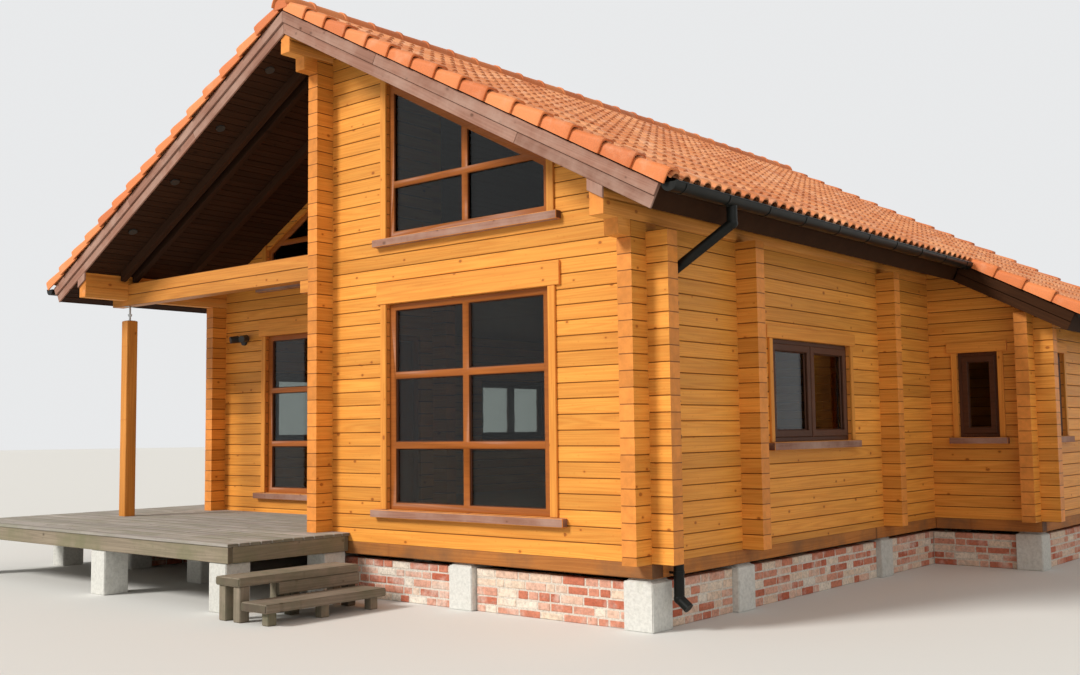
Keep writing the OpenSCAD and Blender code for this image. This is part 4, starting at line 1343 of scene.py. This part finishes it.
@dataclass
class Windows:
    """Window frames, sashes, glazing beads, glass and trims."""

    frame_in: float = 0.03
    bar_depth: float = 0.026
    bead: float = 0.009
    sash: float = 0.068

    def places(self) -> list[WindowPlace]:
        """Lists the windows with straight heads.

        Returns:
            Their places, sizes and lights.
        """
        big = dict(z=0.334, width=2.07, height=2.006, edge=(0.09, 0.065), bar=(0.082, 0.066),
                   posts=(1.035,), rails=(0.62, 1.30))
        narrow = dict(z=0.945, width=0.47, height=0.985, edge=(0.11, 0.11), bar=(0.11, 0.11),
                      opens=True)
        wide = dict(narrow, width=1.65, bar=(0.15, 0.11), posts=(0.825,))
        left, back = -HOUSE.width, HOUSE.length
        return [WindowPlace(x=x, y=y, turn=turn, **kind) for x, y, turn, kind in (
            (-3.11, 0.0, 0, big), (-6.99, HOUSE.porch, 0, big), (0.33, HOUSE.wing_y, 0, narrow),
            (HOUSE.wing_width, 6.43, 90, narrow), (0.0, 2.03, 90, wide), (left, 3.93, 270, wide),
            (left, 8.13, 270, wide), (-5.17, back, 180, wide), (-1.27, back, 180, wide))]

    @staticmethod
    def ring(work: Solid, window: WindowPlace, light: tuple[float, float, float, float],
             profile: list[tuple[float, float]], tone: float) -> None:
        """Adds a mitred moulding round a pane.

        Args:
            work: Solid to add to.
            window: The window.
            light: Left, right, low and high edges of the pane.
            profile: Distance outside the pane's edge, and depth, round the moulding's section.
            tone: Its shade.
        """
        left, right, low, high = light
        loops = [[work.bm.verts.new(window.point(u + du * out, depth, v + dv * out))
                  for out, depth in profile]
                 for u, v, du, dv in ((left, low, -1, -1), (right, low, 1, -1),
                                      (right, high, 1, 1), (left, high, -1, 1))]
        faces = work.loft(loops + loops[:1])
        for v in (v for loop in loops for v in loop):
            v[work.grain] = v.co
        for f in faces:
            f[work.tone] = tone
        bmesh.ops.recalc_face_normals(work.bm, faces=faces)

    def build(self) -> None:
        """Dresses the frames and adds beads and sashes."""
        soften("large_windows", SASH_STAIN, 0.004, 31)
        soften("gable_windows", SASH_STAIN, 0.004, 32)
        soften("casement_windows", DARK_SASH, 0.004, 33)
        # The glass's dark tint is painted shade of the rooms behind
        paint(GLASS_WITH_PAINTED_SHADE, "window_glass")
        beads, sashes = Solid(), Solid()
        draw = random.Random(9)
        b, s, face, glass = self.bead, self.sash, self.frame_in, self.frame_in + self.bar_depth
        for window in self.places():
            for light in window.lights():
                self.ring(beads, window, light,
                          [(0.001, glass - 0.014), (-b * 0.3, glass - 0.013),
                           (-b, glass - 0.004), (-b, glass), (0.001, glass)], draw.random())
                if window.opens:
                    self.ring(sashes, window, light,
                              [(0.0, face + 0.012), (0.0, face - 0.010), (0.005, face - 0.014),
                               (s - 0.008, face - 0.014), (s, face - 0.008), (s, face + 0.004)],
                              draw.random())
        dress("glazing_beads", DARK_SASH, [beads.mesh("glazing_beads", SMOOTH)])
        dress("casement_sashes", DARK_SASH, [sashes.mesh("casement_sashes", SMOOTH)])
        soften("window_trims", TRIM_GLAZE, 0.004, 34, TRIM_STAIN,
               lambda low, high: high.z - low.z < 0.09)
        soften("door_frame", SASH_STAIN, 0.004, 35)
        soften("entrance_door", SASH_STAIN, 0.003, 36)


@dataclass
class Base:
    """Sill beams, cast piers and the infill of salvaged bricks."""

    pier: float = 0.29
    clear: float = 0.005
    set_back: float = 0.06
    brick_depth: float = 0.115
    lengths: tuple[float, ...] = (0.12, 0.13, 0.24, 0.25, 0.26)
    heights: tuple[float, float] = (0.060, 0.072)
    bevel: float = 0.006
    shortest: float = 0.05
    top: float = -0.165
    joint: float = 0.012
    courses: int = 5

    def walls(self) -> list[tuple[float, float, float, float]]:
        """Lists the infill walls.

        Returns:
            Left, right, front and back edges of each.
        """
        gap, back = self.clear, HOUSE.length - self.set_back
        near, far = self.set_back, self.set_back + self.brick_depth
        left = -HOUSE.width
        xs = [left + gap, left + 2.02, HOUSE.ridge - self.pier / 2, -2.29, -self.pier - gap]
        ys = [gap, 1.345, 4.35, 6.98, HOUSE.length - self.pier - gap]
        spans_x, spans_y = ([(a + self.pier + gap, b - gap) for a, b in zip(places, places[1:])]
                            for places in (xs, ys))
        wing = HOUSE.wing_width
        return [*((a, b, near, far) for a, b in spans_x[2:]),
                *((-far, -near, a, b) for a, b in spans_y[:3]),
                (-near, wing - 0.30, HOUSE.wing_y + near, HOUSE.wing_y + far),
                (wing - far, wing - near, HOUSE.wing_y + 0.30, ys[4] - gap),
                *((left + near, left + far, a, b) for a, b in spans_y),
                *((a, b, back - self.brick_depth, back) for a, b in spans_x),
                (0.0, wing - self.pier - 2 * gap, back - self.brick_depth, back)]

    def bricks(self) -> None:
        """Lays the bricks and fills their joints with mortar."""
        draw = random.Random(17)
        laid, mortar = Solid(), Solid()
        for x0, x1, y0, y1 in self.walls():
            along_x = x1 - x0 > y1 - y0
            axes = (X, Y, Z) if along_x else (Y, X, Z)
            (start, end), (face, rear) = ((x0, x1), (y0, y1)) if along_x else ((y0, y1), (x0, x1))
            low = -HOUSE.base
            heights = [draw.uniform(*self.heights) for _ in range(self.courses)]
            scale = (self.top + HOUSE.base - (self.courses - 1) * self.joint) / sum(heights)
            for height in (h * scale for h in heights):
                place = start
                while place < end - 0.03:
                    length = min(draw.choice(self.lengths) + draw.uniform(-0.02, 0.02),
                                 end - place)
                    if end - place - length < self.shortest:
                        length = end - place
                    along, off = place + length / 2, (face + rear) / 2 + draw.uniform(-0.003, 0.003)
                    x, y = (along, off) if along_x else (off, along)
                    size = (length - self.joint, self.brick_depth - 0.006,
                            height - draw.uniform(0.0, 0.006))
                    laid.board(at(x, y, low + height / 2), axes, size, self.bevel, draw.random())
                    place += length
                low += height + self.joint
            size = (end - start, self.brick_depth - 0.016, self.top + HOUSE.base - 0.008)
            mortar.board(at((x0 + x1) / 2, (y0 + y1) / 2, (self.top - HOUSE.base) / 2), axes,
                         size, 0.0, draw.random())
        dress("brick_infill", OLD_BRICK, [laid.mesh("brick_infill", 30.0)], "brick_plinth")
        dress("brick_joints", LIME_MORTAR, [mortar.mesh("brick_joints")])

    def build(self) -> None:
        """Builds the base."""
        self.bricks()
        soften("sill_beams", SILL_STAIN, 0.006, 41)
        soften("house_piers", CAST_CONCRETE, 0.008, 42)


@dataclass
class Deck:
    """Deck boards, their frame, the deck's piers and the steps."""

    board: float = 0.118
    gap: float = 0.007
    thickness: float = 0.03
    bevel: float = 0.004

    def boards(self) -> None:
        """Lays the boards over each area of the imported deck, from its lowest corner on."""
        bm = opened("deck_boards")
        areas = sorted((corners(group) for group in islands(bm)),
                       key=lambda area: tuple(round(c, 4) for c in area[0]))
        bm.free()
        meshes = []
        for number, (low, high) in enumerate(areas):
            count = max(1, round((high.y - low.y + self.gap) / (self.board + self.gap)))
            step = (high.y - low.y + self.gap) / count
            width = step - self.gap
            plank = Solid()
            plank.board(Vector(), (X, Z, Y), (high.x - low.x, self.thickness, width), self.bevel)
            start = Vector(((low.x + high.x) / 2, low.y + width / 2,
                            high.z - self.thickness / 2))
            layout = Repeat(count, 1, start, Y * step, shift=(0.002, 0.0, 0.0008),
                            seed=50 + number)
            meshes.append(layout.lay(plank))
        dress("deck_planks", DECK_GREY, meshes, "deck_boards")

    def build(self) -> None:
        """Builds the deck and the steps."""
        self.boards()
        # The frame is darker than the deck boards: partly moss and weathering, partly painted shade
        soften("deck_frame", FRAME_GREY_AND_SHADE, 0.004, 51)
        soften("step_treads", STEP_GREY, 0.009, 52)
        soften("step_supports", STEP_GREY, 0.006, 53)
        soften("deck_piers", CAST_CONCRETE, 0.008, 54)


@dataclass
class Porch:
    """The post with its screw jack, the rafters and the lamps."""

    def build(self) -> None:
        """Builds the porch's pieces."""
        soften("porch_post", BEAM_GLAZE, 0.006, 61)
        # The rafters' near-black colour is partly dark stain, partly painted shade
        soften("porch_rafters", SOFFIT_STAIN_AND_SHADE, 0.003, 62)
        paint(GALVANISED, "post_jack")
        paint(LAMP_COAT, "porch_lamps")


@dataclass
class Studio:
    """Floor, sky, lamps and the camera at the photograph's viewpoint."""

    focal: float = 1171.4
    image_width: float = 1080.0
    sensor: float = 36.0
    yaw: float = 40.09
    pitch: float = 4.56
    roll: float = -0.69
    eye: Vector = field(default_factory=lambda: at(5.447, -7.831, 1.077))
    floor_radius: float = 150.0
    floor_colour: Triple = (0.72, 0.72, 0.70)
    floor_roughness: float = 0.9
    light: tuple[Triple, float] = ((1.0, 0.97, 0.93), 0.44)
    sky: tuple[Triple, float] = ((0.9, 0.91, 0.92), 0.9)

    def camera(self) -> None:
        """Makes the camera."""
        data = bpy.data.cameras.new("camera")
        data.sensor_width = self.sensor
        data.lens = self.focal / self.image_width * self.sensor
        data.clip_end = 500.0
        yaw, pitch, roll = (math.radians(a) for a in (self.yaw, self.pitch, self.roll))
        ahead = Vector((-math.sin(yaw) * math.cos(pitch), math.cos(yaw) * math.cos(pitch),
                        math.sin(pitch)))
        level = Vector((math.cos(yaw), math.sin(yaw), 0))
        above = level.cross(ahead)
        right = level * math.cos(roll) + above * math.sin(roll)
        place = Matrix([right, above * math.cos(roll) - level * math.sin(roll), -ahead])
        place = place.transposed().to_4x4()
        place.translation = self.eye
        camera = placed("camera", data)
        camera.matrix_world = place
        bpy.context.scene.camera = camera

    def lamp(self, name: str, ahead: Triple, strength: float, angle: float) -> None:
        """Adds a broad distant lamp of warm light.

        Args:
            name: Its name.
            ahead: Direction in which its light travels.
            strength: Its strength.
            angle: Apparent size in degrees, which sets how soft its shadows are.
        """
        data = bpy.data.lights.new(name, "SUN")
        data.energy = strength
        data.angle = math.radians(angle)
        data.color = (1.0, 0.96, 0.90)
        placed(name, data).rotation_euler = Vector(ahead).to_track_quat("-Z", "Y").to_euler()

    def floor(self) -> None:
        """Lays a plain pale floor."""
        work = bmesh.new()
        bmesh.ops.create_circle(work, cap_ends=True, radius=self.floor_radius, segments=96)
        mesh = bpy.data.meshes.new("floor")
        work.to_mesh(mesh)
        work.free()
        material = bpy.data.materials.new("pale_floor")
        material.use_nodes = True
        shader = material.node_tree.nodes["Principled BSDF"].inputs
        shader["Base Color"].default_value = (*self.floor_colour, 1.0)
        shader["Roughness"].default_value = self.floor_roughness
        mesh.materials.append(material)
        floor = placed("floor", mesh)

    def surround(self) -> None:
        """Sets a pale sky to be seen, and the soft light that comes from it."""
        world = bpy.data.worlds.new("studio")
        world.use_nodes = True
        bpy.context.scene.world = world
        world.node_tree.nodes.clear()
        nodes = NodeTree(world.node_tree)
        rays = nodes.add("ShaderNodeLightPath").outputs
        seen = nodes.math("MAXIMUM", rays["Is Camera Ray"], rays["Is Glossy Ray"])
        seen = nodes.math("MAXIMUM", seen, rays["Is Transmission Ray"])
        light, sky = (nodes.add("ShaderNodeBackground", {"Color": colour, "Strength": strength})
                      for colour, strength in (self.light, self.sky))
        both = nodes.add("ShaderNodeMixShader", {0: seen, 1: light.outputs[0], 2: sky.outputs[0]})
        nodes.add("ShaderNodeOutputWorld", {"Surface": both.outputs[0]})

    def build(self) -> None:
        """Sets up the whole studio."""
        self.camera()
        self.floor()
        self.surround()
        self.lamp("key", (0.36, 0.80, -0.60), 3.05, 16.0)
        self.lamp("fill", (-0.8, 0.45, -0.5), 0.36, 50.0)
        bpy.context.scene.view_settings.view_transform = "Standard"


def main() -> None:
    """Builds the studio and then each sub-assembly of the cabin."""
    logging.basicConfig(level=logging.INFO, format="%(name)s %(message)s")
    for assembly in (Studio(), LogWalls(), Roof(), RainWater(), Windows(), Base(), Deck(), Porch()):
        LOG.info("building %s", type(assembly).__name__)
        assembly.build()


if __name__ == "__main__":
    main()
